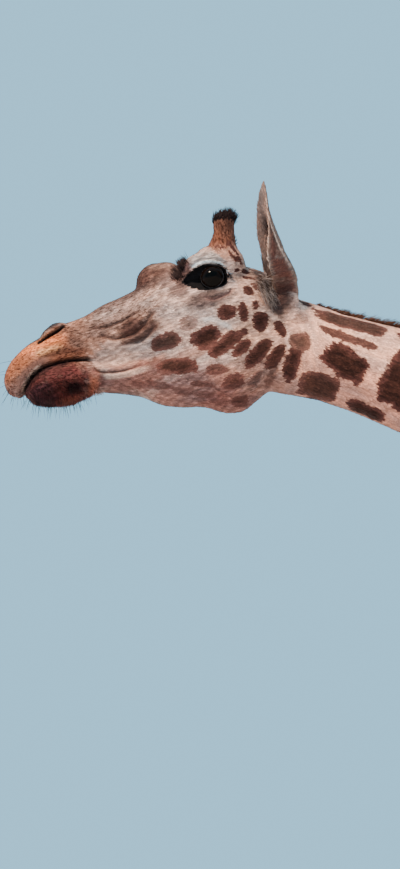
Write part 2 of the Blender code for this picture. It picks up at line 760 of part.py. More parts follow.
def hooves():
    """Two toes under each leg."""
    made = []
    for name, shift in STANCE.items():
        end, side = name.split("_")
        sections = FORELEG if end == "fore" else HIND_LEG
        _, x, y, _, _ = sections[-1]
        leg_x = x + shift * (1 - HOOF_TOP / 2.1) + SHOULDER_X
        sign = -1 if side == "left" else 1
        for place, out in (("outer", sign), ("inner", -sign)):
            made.append(toe(leg_x, sign * y, out, f"hoof_{name}_{place}"))
    return made


def finish_head(head):
    """Cuts the eye sockets and fits the eyes, ossicones and ears to the head."""
    eyes = {side: eye(sign, f"eye_{side}") for side, sign in (("left", -1), ("right", 1))}
    sockets = [grown_copy(obj, MOUNT_GAP) for obj in eyes.values()]
    whole_head = grown_copy(head, CUT_GAP)
    subtract(head, sockets)
    fitted = []
    for side, sign in (("left", -1), ("right", 1)):
        horn, flap = ossicone(sign, f"ossicone_{side}"), ear(sign, f"ear_{side}", EAR_LEAN[side])
        subtract(horn, [whole_head])
        subtract(flap, [whole_head])
        fitted += [horn, flap]
    return [*eyes.values(), *fitted]


def paint(objects):
    """One material for each kind of surface."""
    finishes = {
        "coat": material("coat", (0.50, 0.32, 0.22), 0.8),
        "eye": material("eye", (0.02, 0.015, 0.012), 0.1),
        "hoof": material("hoof", (0.16, 0.12, 0.10), 0.5),
        "mane": material("mane", (0.28, 0.14, 0.09), 0.8),
        "tuft": material("tuft", (0.03, 0.025, 0.022), 0.7),
    }
    kinds = {"eye": "eye", "hoof": "hoof", "mane": "mane", "tail_tuft": "tuft"}
    for obj in objects:
        kind = next((k for start, k in kinds.items() if obj.name.startswith(start)), "coat")
        obj.data.materials.clear()
        obj.data.materials.append(finishes[kind])
        obj.data.shade_smooth()


def main():
    clear_scene()
    parts = part_flesh(flesh())
    made = [*parts.values(), *finish_head(parts["head"]), *hooves(), tail_tuft("tail_tuft")]
    ridge = mane("mane")
    carriers = [parts[name] for name in ("head", "neck_upper", "neck_lower", "trunk")]
    subtract(ridge, [grown_copy(obj, CUT_GAP) for obj in carriers])
    paint([*made, ridge])


main()
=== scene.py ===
"""A life-size giraffe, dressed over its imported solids: one skin, its coat and hair, eyes and hooves.

The animal faces -X, its left side is -Y and it stands on z = 0. The skin repeats the lofts of the solids
at a finer grain, is sculpted by named strokes, and lies inside the solids by the coat's depth. Markings
are fields on the skin's vertices, and every tuft of hair takes the fields of the place where it grows.
"""

import math

import bmesh
import bpy
import numpy as np
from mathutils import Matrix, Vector
from mathutils.bvhtree import BVHTree


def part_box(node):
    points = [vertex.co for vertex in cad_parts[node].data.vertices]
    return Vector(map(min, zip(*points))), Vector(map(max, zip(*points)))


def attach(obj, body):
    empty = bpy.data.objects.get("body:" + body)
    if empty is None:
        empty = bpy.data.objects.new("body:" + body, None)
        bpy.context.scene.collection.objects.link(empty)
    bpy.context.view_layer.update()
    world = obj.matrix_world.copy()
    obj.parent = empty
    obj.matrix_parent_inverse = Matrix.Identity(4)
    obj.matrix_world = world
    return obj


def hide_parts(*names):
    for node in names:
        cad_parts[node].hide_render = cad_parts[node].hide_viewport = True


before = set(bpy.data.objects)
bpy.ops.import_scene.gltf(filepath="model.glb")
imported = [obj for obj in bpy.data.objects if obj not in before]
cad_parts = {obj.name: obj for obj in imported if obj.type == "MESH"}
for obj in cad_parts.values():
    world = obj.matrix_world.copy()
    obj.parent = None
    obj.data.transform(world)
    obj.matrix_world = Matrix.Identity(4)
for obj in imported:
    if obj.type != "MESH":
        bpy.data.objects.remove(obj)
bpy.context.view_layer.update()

# Driving dimensions, in metres and degrees. The head's own frame has x back from the muzzle tip along
# the line to the poll and z up from that line. Its origin is worked out from the eyes' solids.
HEAD_PITCH = math.radians(16.4)
EYE_AT = (0.528, 0.092, 0.076)
EYE_SHOWN = (0.534, 0.092, 0.077)  # the eyeball sits a little further back between the lids
EYE_RADIUS = 0.030
SHOULDER_BACK = 2.42  # from the muzzle tip
NECK_LENGTH = 2.05
NECK_ROOT = (0.66, 0.09)  # start of its middle line, from the muzzle tip along world x and z
NECK_SLOPES = (math.radians(16), math.radians(53))  # how steeply it falls at the head and the trunk
EAR_WALL = 0.007
EAR_LEAN = {-1: 0.0, 1: 0.042}  # the right ear's tip lies further back
COAT_DEPTH = 0.003  # the skin lies this far inside the solids, as room for the coat
HEAD_GRAIN, NECK_GRAIN, BODY_GRAIN = 0.003, 0.009, 0.0155  # voxel sizes of the skin's three parts
HEAD_SEAM, NECK_SEAM = 0.10, 1.15  # where finer skin meets coarser, along the neck
SEAM_GAP = 0.004
CUT_REACH = 3.0  # a cut across the neck only has to look this far
SIDES = (-1, 1)  # left, right
STANCE = {("fore", -1): -0.07, ("fore", 1): 0.05, ("hind", -1): 0.08, ("hind", 1): -0.07}  # feet

# Head sections: x, top, bottom, then half-widths from the bottom edge to the top edge.
UPPER_HEAD = (
    (0.000, 0.002, -0.026, 0.022, 0.026, 0.028, 0.026, 0.022),
    (0.010, 0.019, -0.038, 0.038, 0.043, 0.044, 0.042, 0.036),
    (0.030, 0.041, -0.046, 0.050, 0.056, 0.056, 0.052, 0.046),
    (0.060, 0.060, -0.026, 0.057, 0.062, 0.060, 0.055, 0.048),
    (0.100, 0.077, -0.008, 0.058, 0.064, 0.063, 0.057, 0.050),
    (0.145, 0.094, -0.006, 0.058, 0.064, 0.063, 0.057, 0.050),
    (0.185, 0.096, -0.013, 0.052, 0.058, 0.058, 0.052, 0.044),
    (0.225, 0.101, -0.040, 0.050, 0.056, 0.057, 0.050, 0.042),
    (0.270, 0.115, -0.062, 0.050, 0.058, 0.060, 0.053, 0.044),
    (0.320, 0.122, -0.070, 0.054, 0.066, 0.070, 0.064, 0.052),
    (0.380, 0.134, -0.085, 0.060, 0.077, 0.086, 0.082, 0.066),
    (0.440, 0.142, -0.105, 0.066, 0.086, 0.098, 0.098, 0.082),
    (0.500, 0.142, -0.120, 0.070, 0.092, 0.106, 0.110, 0.096),
    (0.550, 0.136, -0.128, 0.072, 0.094, 0.107, 0.111, 0.098),
    (0.600, 0.122, -0.130, 0.070, 0.091, 0.100, 0.098, 0.086),
    (0.650, 0.098, -0.125, 0.066, 0.086, 0.092, 0.086, 0.070),
    (0.695, 0.050, -0.115, 0.060, 0.078, 0.082, 0.074, 0.058),
    (0.730, -0.020, -0.105, 0.045, 0.055, 0.055, 0.050, 0.040),
)
LOWER_JAW = (
    (0.043, -0.036, -0.054, 0.020, 0.022, 0.022, 0.022, 0.020),
    (0.052, -0.022, -0.066, 0.034, 0.038, 0.038, 0.036, 0.032),
    (0.070, -0.006, -0.074, 0.046, 0.052, 0.052, 0.048, 0.044),
    (0.100, 0.008, -0.083, 0.052, 0.058, 0.058, 0.054, 0.050),
    (0.135, 0.014, -0.090, 0.052, 0.058, 0.058, 0.054, 0.050),
    (0.165, 0.008, -0.087, 0.047, 0.052, 0.052, 0.050, 0.046),
    (0.192, -0.004, -0.083, 0.040, 0.045, 0.047, 0.046, 0.042),
    (0.230, -0.022, -0.094, 0.038, 0.044, 0.046, 0.046, 0.042),
    (0.300, -0.034, -0.125, 0.040, 0.048, 0.050, 0.050, 0.046),
    (0.340, -0.034, -0.158, 0.040, 0.052, 0.056, 0.056, 0.052),
    (0.380, -0.030, -0.176, 0.041, 0.056, 0.062, 0.063, 0.060),
    (0.430, -0.024, -0.190, 0.042, 0.060, 0.069, 0.071, 0.067),
    (0.480, -0.015, -0.222, 0.042, 0.062, 0.074, 0.078, 0.074),
    (0.515, -0.010, -0.230, 0.042, 0.062, 0.074, 0.080, 0.076),
    (0.555, -0.010, -0.216, 0.040, 0.058, 0.070, 0.076, 0.072),
    (0.600, -0.020, -0.196, 0.034, 0.050, 0.060, 0.064, 0.060),
)
SECTION_HEIGHTS = (0.08, 0.3, 0.5, 0.7, 0.92)

# Neck sections: distance from the head, half-depth, half-width.
NECK = (
    (-0.10, 0.100, 0.066),
    (0.00, 0.116, 0.078),
    (0.12, 0.108, 0.080),
    (0.20, 0.111, 0.082),
    (0.30, 0.121, 0.086),
    (0.60, 0.150, 0.099),
    (1.00, 0.188, 0.118),
    (1.40, 0.248, 0.150),
    (1.70, 0.325, 0.188),
    (1.90, 0.390, 0.220),
    (2.05, 0.430, 0.240),
    (2.25, 0.430, 0.250),
    (2.45, 0.380, 0.235),
)
# Trunk sections: x, top, bottom, half-width.
TRUNK = (
    (-0.415, 2.42, 2.14, 0.170),
    (-0.37, 2.52, 2.05, 0.200),
    (-0.27, 2.68, 1.95, 0.232),
    (-0.10, 2.90, 1.855, 0.258),
    (0.10, 3.03, 1.79, 0.280),
    (0.25, 3.00, 1.775, 0.296),
    (0.45, 2.90, 1.775, 0.315),
    (0.75, 2.79, 1.80, 0.328),
    (1.05, 2.71, 1.85, 0.322),
    (1.30, 2.65, 1.92, 0.298),
    (1.52, 2.57, 1.98, 0.258),
    (1.70, 2.45, 2.06, 0.190),
    (1.79, 2.34, 2.14, 0.100),
)
# Leg sections from the body down: height, x, y, half-length, half-width.
FORELEG = (
    (2.62, 0.16, 0.150, 0.130, 0.085),
    (2.40, 0.08, 0.180, 0.180, 0.110),
    (2.15, 0.00, 0.190, 0.200, 0.120),
    (1.95, 0.01, 0.195, 0.180, 0.115),
    (1.78, 0.05, 0.200, 0.145, 0.102),
    (1.60, 0.05, 0.202, 0.112, 0.086),
    (1.35, 0.03, 0.205, 0.084, 0.068),
    (1.15, 0.01, 0.205, 0.067, 0.058),
    (1.04, 0.000, 0.205, 0.073, 0.064),
    (0.96, -0.004, 0.205, 0.075, 0.066),
    (0.87, 0.004, 0.205, 0.060, 0.055),
    (0.74, 0.012, 0.205, 0.047, 0.042),
    (0.50, 0.012, 0.205, 0.045, 0.039),
    (0.35, 0.010, 0.205, 0.050, 0.044),
    (0.275, 0.014, 0.205, 0.064, 0.057),
    (0.20, -0.008, 0.205, 0.056, 0.055),
    (0.12, -0.034, 0.205, 0.068, 0.066),
)
HIND_LEG = (
    (2.48, 1.42, 0.110, 0.240, 0.090),
    (2.25, 1.43, 0.150, 0.315, 0.120),
    (2.02, 1.42, 0.172, 0.295, 0.118),
    (1.82, 1.41, 0.185, 0.225, 0.104),
    (1.64, 1.43, 0.188, 0.150, 0.084),
    (1.44, 1.49, 0.190, 0.100, 0.062),
    (1.26, 1.550, 0.190, 0.076, 0.050),
    (1.14, 1.580, 0.190, 0.081, 0.052),
    (1.04, 1.575, 0.190, 0.074, 0.051),
    (0.92, 1.558, 0.190, 0.058, 0.044),
    (0.75, 1.550, 0.190, 0.050, 0.040),
    (0.50, 1.542, 0.190, 0.047, 0.038),
    (0.35, 1.536, 0.190, 0.051, 0.043),
    (0.275, 1.538, 0.190, 0.062, 0.054),
    (0.20, 1.514, 0.190, 0.055, 0.053),
    (0.12, 1.490, 0.190, 0.066, 0.063),
)
# Tail: x, height, radius.
TAIL = (
    (1.62, 2.46, 0.050),
    (1.74, 2.42, 0.047),
    (1.82, 2.33, 0.038),
    (1.87, 2.14, 0.029),
    (1.89, 1.85, 0.022),
    (1.90, 1.62, 0.018),
    (1.90, 1.50, 0.015),
)
# Ossicone: share of its length, then x, y, z in the head's frame, and radius.
OSSICONE = (
    (0.00, 0.576, 0.056, 0.095, 0.036),
    (0.25, 0.581, 0.062, 0.125, 0.033),
    (0.50, 0.587, 0.069, 0.155, 0.0295),
    (0.75, 0.594, 0.077, 0.187, 0.0275),
    (0.90, 0.599, 0.082, 0.207, 0.0290),
    (1.00, 0.603, 0.085, 0.222, 0.021),
)
# Ear: share of its length, x, y, z of its middle line, depth, width, half its wall's arc, outward turn.
EAR = (
    (0.00, 0.688, 0.046, -0.024, 0.026, 0.020, 140, 0),
    (0.17, 0.683, 0.092, 0.036, 0.042, 0.030, 130, -4),
    (0.33, 0.668, 0.122, 0.088, 0.042, 0.036, 104, -10),
    (0.50, 0.666, 0.146, 0.132, 0.037, 0.036, 86, -22),
    (0.70, 0.675, 0.170, 0.176, 0.024, 0.028, 74, -36),
    (0.87, 0.686, 0.188, 0.211, 0.0175, 0.019, 66, -48),
    (1.00, 0.700, 0.198, 0.238, 0.006, 0.006, 60, -55),
)
# Swellings on the head: centre and radii, mirrored unless the centre lies on the middle plane.
SWELLINGS = (
    ((0.413, 0.000, 0.128), (0.053, 0.044, 0.056)),  # the forehead's bump
    ((0.526, 0.080, 0.112), (0.064, 0.038, 0.042)),  # brow
    ((0.520, 0.082, 0.030), (0.090, 0.026, 0.026)),  # cheekbone
    ((0.525, 0.052, -0.115), (0.080, 0.034, 0.092)),  # angle of the jaw
    ((0.150, 0.036, 0.068), (0.040, 0.024, 0.025)),  # nostril
    ((0.578, 0.060, 0.110), (0.047, 0.043, 0.056)),  # ossicone root
    ((0.685, 0.066, 0.000), (0.036, 0.030, 0.050)),  # ear root
)

# Where the parts lie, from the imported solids.
left_eye, right_eye = (sum(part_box(name), Vector()) / 2 for name in ("eye_left", "eye_right"))
EYE_MIDDLE = (left_eye + right_eye) / 2
TURN_C, TURN_S = math.cos(HEAD_PITCH), math.sin(HEAD_PITCH)
HEAD_X = EYE_MIDDLE.x - EYE_AT[0] * TURN_C + EYE_AT[2] * TURN_S
HEAD_Z = EYE_MIDDLE.z - EYE_AT[0] * TURN_S - EYE_AT[2] * TURN_C
SHOULDER_X = HEAD_X + SHOULDER_BACK


# ---------------------------------------------------------------- curves and lofts
def smooth_curve(keys, values, at):
    """Cubic interpolation through keyed rows that never overshoots them."""
    keys = np.asarray(keys, float)
    values = np.asarray(values, float).reshape(len(keys), -1)
    at = np.clip(np.asarray(at, float), keys[0], keys[-1])
    slope = np.diff(values, axis=0) / np.diff(keys)[:, None]
    tangent = np.zeros_like(values)
    tangent[0], tangent[-1] = slope[0], slope[-1]
    same_way = slope[:-1] * slope[1:] > 0
    mean = 2 * slope[:-1] * slope[1:] / np.where(same_way, slope[:-1] + slope[1:], 1)
    tangent[1:-1] = np.where(same_way, mean, 0)
    i = np.clip(np.searchsorted(keys, at, side="right") - 1, 0, len(keys) - 2)
    h = (keys[i + 1] - keys[i])[:, None]
    t = (at - keys[i])[:, None] / h
    return (
        (2 * t**3 - 3 * t**2 + 1) * values[i]
        + (t**3 - 2 * t**2 + t) * h * tangent[i]
        + (3 * t**2 - 2 * t**3) * values[i + 1]
        + (t**3 - t**2) * h * tangent[i + 1]
    )


def sample(rows, at):
    """The columns of a table, read smoothly at positions along its first column."""
    rows = np.array(rows)
    return smooth_curve(rows[:, 0], rows[:, 1:], at).T


def smoothstep(low, high, value):
    """0 below low, rising smoothly to 1 at high."""
    t = np.clip((value - low) / (high - low), 0, 1)
    return t * t * (3 - 2 * t)


def fade(low, high, value):
    """1 below low, falling smoothly to 0 at high."""
    return 1 - smoothstep(low, high, value)


def bell(value, middle, width):
    """1 at the middle, falling to 1/e at this width from it."""
    return np.exp(-(((value - middle) / width) ** 2))


def unit(vectors):
    """The vectors at length 1."""
    return vectors / np.maximum(np.linalg.norm(vectors, axis=-1, keepdims=True), 1e-9)


def head_to_world(points):
    """Head-frame points (x back, y, z up) as world points."""
    points = np.asarray(points, float)
    x, y, z = points[..., 0], points[..., 1], points[..., 2]
    return np.stack([HEAD_X + x * TURN_C - z * TURN_S, y, HEAD_Z + x * TURN_S + z * TURN_C], axis=-1)


def world_to_head(points):
    """World points as head-frame points."""
    x, y, z = points[..., 0] - HEAD_X, points[..., 1], points[..., 2] - HEAD_Z
    return np.stack([x * TURN_C + z * TURN_S, y, z * TURN_C - x * TURN_S], axis=-1)


def neck_line(distance):
    """Centre and backward direction of the neck at each distance from the head."""
    fine = np.linspace(-0.12, NECK[-1][0], 400)
    share = np.clip(fine / NECK_LENGTH, 0, 1)
    slope = NECK_SLOPES[0] + (NECK_SLOPES[1] - NECK_SLOPES[0]) * share**1.1
    run = np.gradient(fine)
    x, z = np.cumsum(np.cos(slope) * run), np.cumsum(-np.sin(slope) * run)
    root = (HEAD_X + NECK_ROOT[0], HEAD_Z + NECK_ROOT[1])
    centre = np.stack(
        [
            root[0] + np.interp(distance, fine, x - np.interp(0, fine, x)),
            np.zeros_like(distance),
            root[1] + np.interp(distance, fine, z - np.interp(0, fine, z)),
        ],
        axis=-1,
    )
    angle = np.interp(distance, fine, slope)
    return centre, np.stack([np.cos(angle), np.zeros_like(angle), -np.sin(angle)], axis=-1)


def upward(back):
    """The direction up from the neck's middle line, for each backward direction."""
    return np.stack([-back[:, 2], np.zeros(len(back)), back[:, 0]], axis=-1)


def along_neck(points):
    """Distance along the neck and height above its middle line, for each point."""
    s = np.linspace(-0.10, NECK[-1][0], 256)
    centre, back = neck_line(s)
    nearest = np.empty(len(points), int)
    for start in range(0, len(points), 20000):
        some = points[start : start + 20000]
        away = (some[:, None, 0] - centre[None, :, 0]) ** 2 + (some[:, None, 2] - centre[None, :, 2]) ** 2
        nearest[start : start + 20000] = away.argmin(axis=1)
    offset = points - centre[nearest]
    direction = back[nearest]
    ahead = (offset * direction).sum(axis=1)
    height = offset[:, 2] * direction[:, 0] - offset[:, 0] * direction[:, 2]
    return s[nearest] + ahead, height


def oval(half_a, half_b, around, power=2.0):
    """Points round a superellipse, shaped (ring, point, 2)."""
    turn = np.linspace(0, 2 * math.pi, around, endpoint=False)
    c, s = np.cos(turn), np.sin(turn)
    a = np.sign(c) * np.abs(c) ** (2 / power)
    b = np.sign(s) * np.abs(s) ** (2 / power)
    return np.stack([np.outer(half_a, a), np.outer(half_b, b)], axis=-1)


def new_object(name, data):
    """An object in the scene with this data."""
    obj = bpy.data.objects.new(name, data)
    bpy.context.scene.collection.objects.link(obj)
    return obj


def ring_faces(count, around):
    """Quads between rings of points, and one face over each end."""
    i, j = np.meshgrid(np.arange(count - 1), np.arange(around), indexing="ij")
    a, b = i * around + j, i * around + (j + 1) % around
    quads = np.stack([a, b, b + around, a + around], axis=-1).reshape(-1, 4).tolist()
    last = (count - 1) * around
    return quads + [list(range(around))[::-1], list(range(last, last + around))]


def ring_form(rings):
    """A closed form through rings of points, shaped (ring, point, xyz), as points and faces."""
    return rings.reshape(-1, 3), ring_faces(*rings.shape[:2])


def head_form(sections, steps=90, around=80):
    """The upper head or the lower jaw, from its sections."""
    x = np.linspace(sections[0][0], sections[-1][0], steps)
    top, bottom, *widths = sample(sections, x)
    turn = np.linspace(-math.pi / 2, 1.5 * math.pi, around, endpoint=False)
    height = (1 + np.sin(turn)) / 2
    across = smooth_curve(SECTION_HEIGHTS, np.array(widths), height).T
    y = across * np.abs(np.cos(turn)) ** 0.8 * np.sign(np.cos(turn))
    z = bottom[:, None] + (top - bottom)[:, None] * height
    rings = np.stack([np.repeat(x[:, None], around, axis=1), y, z], axis=-1)
    return ring_form(head_to_world(rings))


def crest_lift(s):
    """How far the skin of the upper neck is lifted over the solid's crest, as the photo shows it."""
    return np.interp(s, (0.0, 0.15, 0.45, 1.0), (0.0, 0.005, 0.009, 0.0))


def neck_form(first, last, steps=80, around=72):
    """The neck between two distances from the head, with its crest lifted."""
    s = np.linspace(first, last, steps)
    depth, width = sample(NECK, s)
    centre, back = neck_line(s)
    up = upward(back)
    centre = centre + up * crest_lift(s)[:, None]
    shape = oval(width, 1.02 * depth, around, 2.15)
    rings = centre[:, None] + shape[..., :1] * np.array([0, 1, 0]) + shape[..., 1:] * up[:, None]
    return ring_form(rings)


def trunk_form(steps=90, around=80):
    """The trunk, narrower above its middle than below."""
    x = np.linspace(TRUNK[0][0], TRUNK[-1][0], steps)
    top, bottom, width = sample(TRUNK, x)
    shape = oval(width, (top - bottom) / 2, around, 2.25)
    narrow_top = 1 - 0.30 * np.clip(shape[..., 1] / ((top - bottom) / 2)[:, None], 0, 1) ** 1.5
    middle = ((top + bottom) / 2)[:, None]
    across = np.repeat(x[:, None] + SHOULDER_X, around, axis=1)
    return ring_form(np.stack([across, shape[..., 0] * narrow_top, middle + shape[..., 1]], axis=-1))


def leg_line(end, side, z):
    """Centre and half-sizes of a leg at each height."""
    sections = FORELEG if end == "fore" else HIND_LEG
    x, y, length, width = sample(sections[::-1], z)
    x = x + STANCE[end, side] * np.clip(1 - z / 2.1, 0, 1) + SHOULDER_X
    return x, side * y, length, width


def leg_form(end, side, steps=120, around=40):
    """One leg, down to the top of its foot."""
    sections = FORELEG if end == "fore" else HIND_LEG
    z = np.linspace(sections[-1][0], sections[0][0], steps)
    x, y, length, width = leg_line(end, side, z)
    shape = oval(length, width, around, 2.1)
    rings = [x[:, None] + shape[..., 0], y[:, None] + side * shape[..., 1], np.repeat(z[:, None], around, 1)]
    return ring_form(np.stack(rings, axis=-1))


def tail_form(steps=50, around=24):
    """The tail, with its rings square to its line."""
    rows = np.array(TAIL)
    t = np.linspace(0, len(rows) - 1, steps)
    x, z, radius = smooth_curve(np.arange(len(rows)), rows, t).T
    along = unit(np.stack([np.gradient(x), np.gradient(z)], axis=-1))
    shape = oval(radius, radius, around)
    rings = [
        (x + SHOULDER_X)[:, None] + shape[..., 0] * along[:, 1:],
        shape[..., 1],
        z[:, None] - shape[..., 0] * along[:, :1],
    ]
    return ring_form(np.stack(rings, axis=-1))


def ball_form(centre, radii, steps=24, around=32):
    """An ellipsoid in the head's frame."""
    turn = np.linspace(0.02, math.pi - 0.02, steps)
    around_turn = np.linspace(0, 2 * math.pi, around, endpoint=False)
    x = np.repeat(np.cos(turn)[:, None], around, axis=1)
    y, z = np.outer(np.sin(turn), np.cos(around_turn)), np.outer(np.sin(turn), np.sin(around_turn))
    rings = np.array(centre) + np.stack([x, y, z], axis=-1) * np.array(radii)
    return ring_form(head_to_world(rings))


def swelling_forms():
    """All the swellings, on both sides."""
    made = []
    for (x, y, z), radii in SWELLINGS:
        for side in SIDES if y else (1,):
            made.append(ball_form((x, side * y, z), radii))
    return made


def ossicone_form(side, steps=30, around=40):
    """One ossicone, with its rings tilted back."""
    x, y, z, radius = sample(OSSICONE, np.linspace(0, 1, steps))
    shape = oval(radius, radius * 0.94, around)
    x, y, z = x[:, None] + shape[..., 0], y[:, None] + shape[..., 1], z[:, None] - 0.20 * shape[..., 0]
    return ring_form(head_to_world(np.stack([x, side * y, z], axis=-1)))


def ear_form(side, steps=60, half=24):
    """A leaf-shaped half-tube. Its opening faces forward at the foot and turns outward to the tip."""
    t = np.linspace(0, 1, steps)
    x, y, z, deep, wide, arc, turn = sample(EAR, t)
    x = x + EAR_LEAN[side] * t
    across = np.linspace(-1, 1, 2 * half)
    angle = np.radians(turn[:, None] + arc[:, None] * across)
    wall = np.minimum(EAR_WALL, 0.6 * deep)[:, None] * (1 - 0.55 * np.abs(across) ** 8)
    rings = []
    for grow in (0, 1):
        back, out = deep[:, None] - grow * wall, wide[:, None] - grow * wall
        ring_x, ring_y = x[:, None] + back * np.cos(angle), y[:, None] + out * np.sin(angle)
        ring = np.stack([ring_x, ring_y, np.repeat(z[:, None], 2 * half, axis=1)], axis=-1)
        rings.append(ring[:, ::-1] if grow else ring)
    ring = np.concatenate(rings, axis=1)
    ring[..., 1] *= side
    return ring_form(head_to_world(ring))


# ---------------------------------------------------------------- mesh helpers
def points_of(obj):
    """The object's vertices as an array."""
    flat = np.empty(len(obj.data.vertices) * 3, np.float32)
    obj.data.vertices.foreach_get("co", flat)
    return flat.reshape(-1, 3).astype(float)


def set_points(obj, points):
    """Moves the object's vertices."""
    obj.data.vertices.foreach_set("co", points.astype(np.float32).ravel())
    obj.data.update()


def normals_of(obj):
    """The object's vertex normals as an array."""
    flat = np.empty(len(obj.data.vertices) * 3, np.float32)
    obj.data.vertices.foreach_get("normal", flat)
    return flat.reshape(-1, 3).astype(float)


def join_forms(name, forms):
    """Closed forms as one object, with their normals pointing out."""
    points, faces, start = [], [], 0
    for form_points, form_faces in forms:
        points.append(form_points)
        faces += [[start + i for i in face] for face in form_faces]
        start += len(form_points)
    data = bpy.data.meshes.new(name)
    data.from_pydata(np.concatenate(points).tolist(), [], faces)
    mesh = bmesh.new()
    mesh.from_mesh(data)
    bmesh.ops.recalc_face_normals(mesh, faces=mesh.faces)
    mesh.to_mesh(data)
    mesh.free()
    return new_object(name, data)


def voxel_union(obj, size):
    """Replaces overlapping closed forms by the one surface round them all."""
    remesh = obj.modifiers.new("union", "REMESH")
    remesh.mode = "VOXEL"
    remesh.voxel_size = size
    graph = bpy.context.evaluated_depsgraph_get()
    mesh = bpy.data.meshes.new_from_object(obj.evaluated_get(graph))
    obj.modifiers.clear()
    obj.data = mesh


def relax(obj, passes, strength):
    """Laplacian smoothing, as strong at each vertex as strength says there."""
    edges = np.empty(len(obj.data.edges) * 2, np.int32)
    obj.data.edges.foreach_get("vertices", edges)
    a, b = edges.reshape(-1, 2).T
    points = points_of(obj)
    count = np.bincount(a, minlength=len(points)) + np.bincount(b, minlength=len(points))
    pull = np.broadcast_to(strength(points), len(points))
    moving = np.flatnonzero(pull > 0)
    pull = pull[moving, None]
    for _ in range(passes):
        total = np.empty_like(points)
        for axis in range(3):
            total[:, axis] = np.bincount(a, points[b, axis], len(points))
            total[:, axis] += np.bincount(b, points[a, axis], len(points))
        points[moving] += pull * (total[moving] / count[moving, None] - points[moving])
    set_points(obj, points)


def nearness(points, centre, reach):
    """1 at a centre, falling smoothly to 0 at the reach."""
    away = np.linalg.norm((points - np.asarray(centre)) / np.asarray(reach), axis=-1)
    return np.clip(1 - away**2, 0, 1) ** 2


def mirrored(points):
    """Head-frame or body points with y as distance from the middle plane."""
    return points * np.where(points[:, 1:2] < 0, [[1, -1, 1]], [[1, 1, 1]])


def from_shoulder(points):
    """World points measured from the shoulder, with y as distance from the middle plane."""
    return mirrored(points - np.array([SHOULDER_X, 0, 0]))


SIDE_VIEW = np.array([1.0, 0.3, 1.0])  # a path needs only to be near the skin across the head


def path_distance(points, path, samples=28):
    """Distance from each point to a smooth path, seen mostly from the side, and how far along it is."""
    points, path = points * SIDE_VIEW, np.array(path, float) * SIDE_VIEW
    line = smooth_curve(np.arange(len(path)), path, np.linspace(0, len(path) - 1, samples))
    best, along = np.full(len(points), np.inf), np.zeros(len(points))
    for i, (a, b) in enumerate(zip(line, line[1:])):
        t = np.clip((points - a) @ (b - a) / max((b - a) @ (b - a), 1e-12), 0, 1)
        away = np.linalg.norm(points - a - t[:, None] * (b - a), axis=1)
        nearer = away < best
        best = np.where(nearer, away, best)
        along = np.where(nearer, (i + t) / (samples - 1), along)
    return best, along


def near_box(points, path, reach):
    """Indices of the points within reach of the box round a path."""
    box = np.array(path)
    return np.flatnonzero(((points > box.min(0) - reach) & (points < box.max(0) + reach)).all(axis=1))


# ---------------------------------------------------------------- the skin
# Where the body's forms blend, from the shoulder: centre, reach, strength of the smoothing.
BLENDS = (
    ((0.05, 0.24, 2.15), (0.55, 0.30, 0.75), 0.55),  # foreleg
    ((1.42, 0.24, 2.10), (0.55, 0.30, 0.62), 0.55),  # hind leg
    ((-0.20, 0.0, 2.50), (0.75, 0.60, 0.80), 0.55),  # neck
    ((1.78, 0.0, 2.38), (0.18, 0.20, 0.22), 0.30),  # tail
)


def body_blend(points):
    """Strong smoothing where limbs, neck and tail join the trunk, light elsewhere."""
    local = from_shoulder(points)
    strength = np.full(len(points), 0.08)
    for centre, reach, most in BLENDS:
        strength += most * nearness(local, centre, reach)
    return np.clip(strength, 0, 0.6)


def head_blend(points):
    """Even smoothing of the head, lighter on the thin ears."""
    h = mirrored(world_to_head(points))
    on_ear = smoothstep(0.10, 0.13, h[:, 1]) * smoothstep(0.0, 0.06, h[:, 2])
    return 0.55 - 0.42 * on_ear


def cut_at(mesh, distance, keep_head_side):
    """Cuts a bmesh across the neck and keeps one side, open at the cut."""
    centre, back = neck_line(np.array([distance]))
    region = [v for v in mesh.verts if math.dist((v.co.x, v.co.z), centre[0, ::2]) < CUT_REACH]
    bmesh.ops.bisect_plane(
        mesh,
        geom=region + mesh.edges[:] + mesh.faces[:],
        dist=1e-6,
        plane_co=Vector(centre[0]),
        plane_no=Vector(back[0]),
        clear_outer=keep_head_side,
        clear_inner=not keep_head_side,
    )


def seam_edges(mesh, distance):
    """Open edges close to a seam across the neck."""
    centre, back = neck_line(np.array([distance]))
    centre, back = Vector(centre[0]), Vector(back[0])
    return [e for e in mesh.edges if e.is_boundary and abs((e.verts[0].co - centre).dot(back)) < 2 * SEAM_GAP]


LID_MIDDLE = np.array([0.515, 0.079])  # x and z in the head's frame
LID_SLOPE = math.radians(-11.3)
SOCKET_REACH = (0.080, 0.049)  # half-length and half-height of the finer patch round an eye
RIM_REACH = 0.12  # open edges within this of the lids' middle, along the head, belong to the eye's hole
LID_LIFT = 0.0022  # the lid's thickness over the eyeball
LID_SINK = 0.006  # how far the lids' edge dips where it isn't on the eyeball
LID_SOFT = 0.003
LID_RINGS = 28
OFF_MIDDLE = 0.04  # what lies round an eye is further than this from the head's middle plane
LID_EVEN = 7  # neighbours on each side over which the rings' spacing is evened out
# The lid's inner face behind its margin: share of the opening, depth under the margin.
LID_TURN = ((0.975, 0.0008), (0.95, 0.0022), (0.90, 0.0036), (0.75, 0.005), (0.5, 0.008), (0.2, 0.012))
BALL_SHOWN = 0.0280  # the eyeball shows inside this radius
LID_AXIS = np.array([math.cos(LID_SLOPE), math.sin(LID_SLOPE)])
LID_UP = np.array([-math.sin(LID_SLOPE), math.cos(LID_SLOPE)])


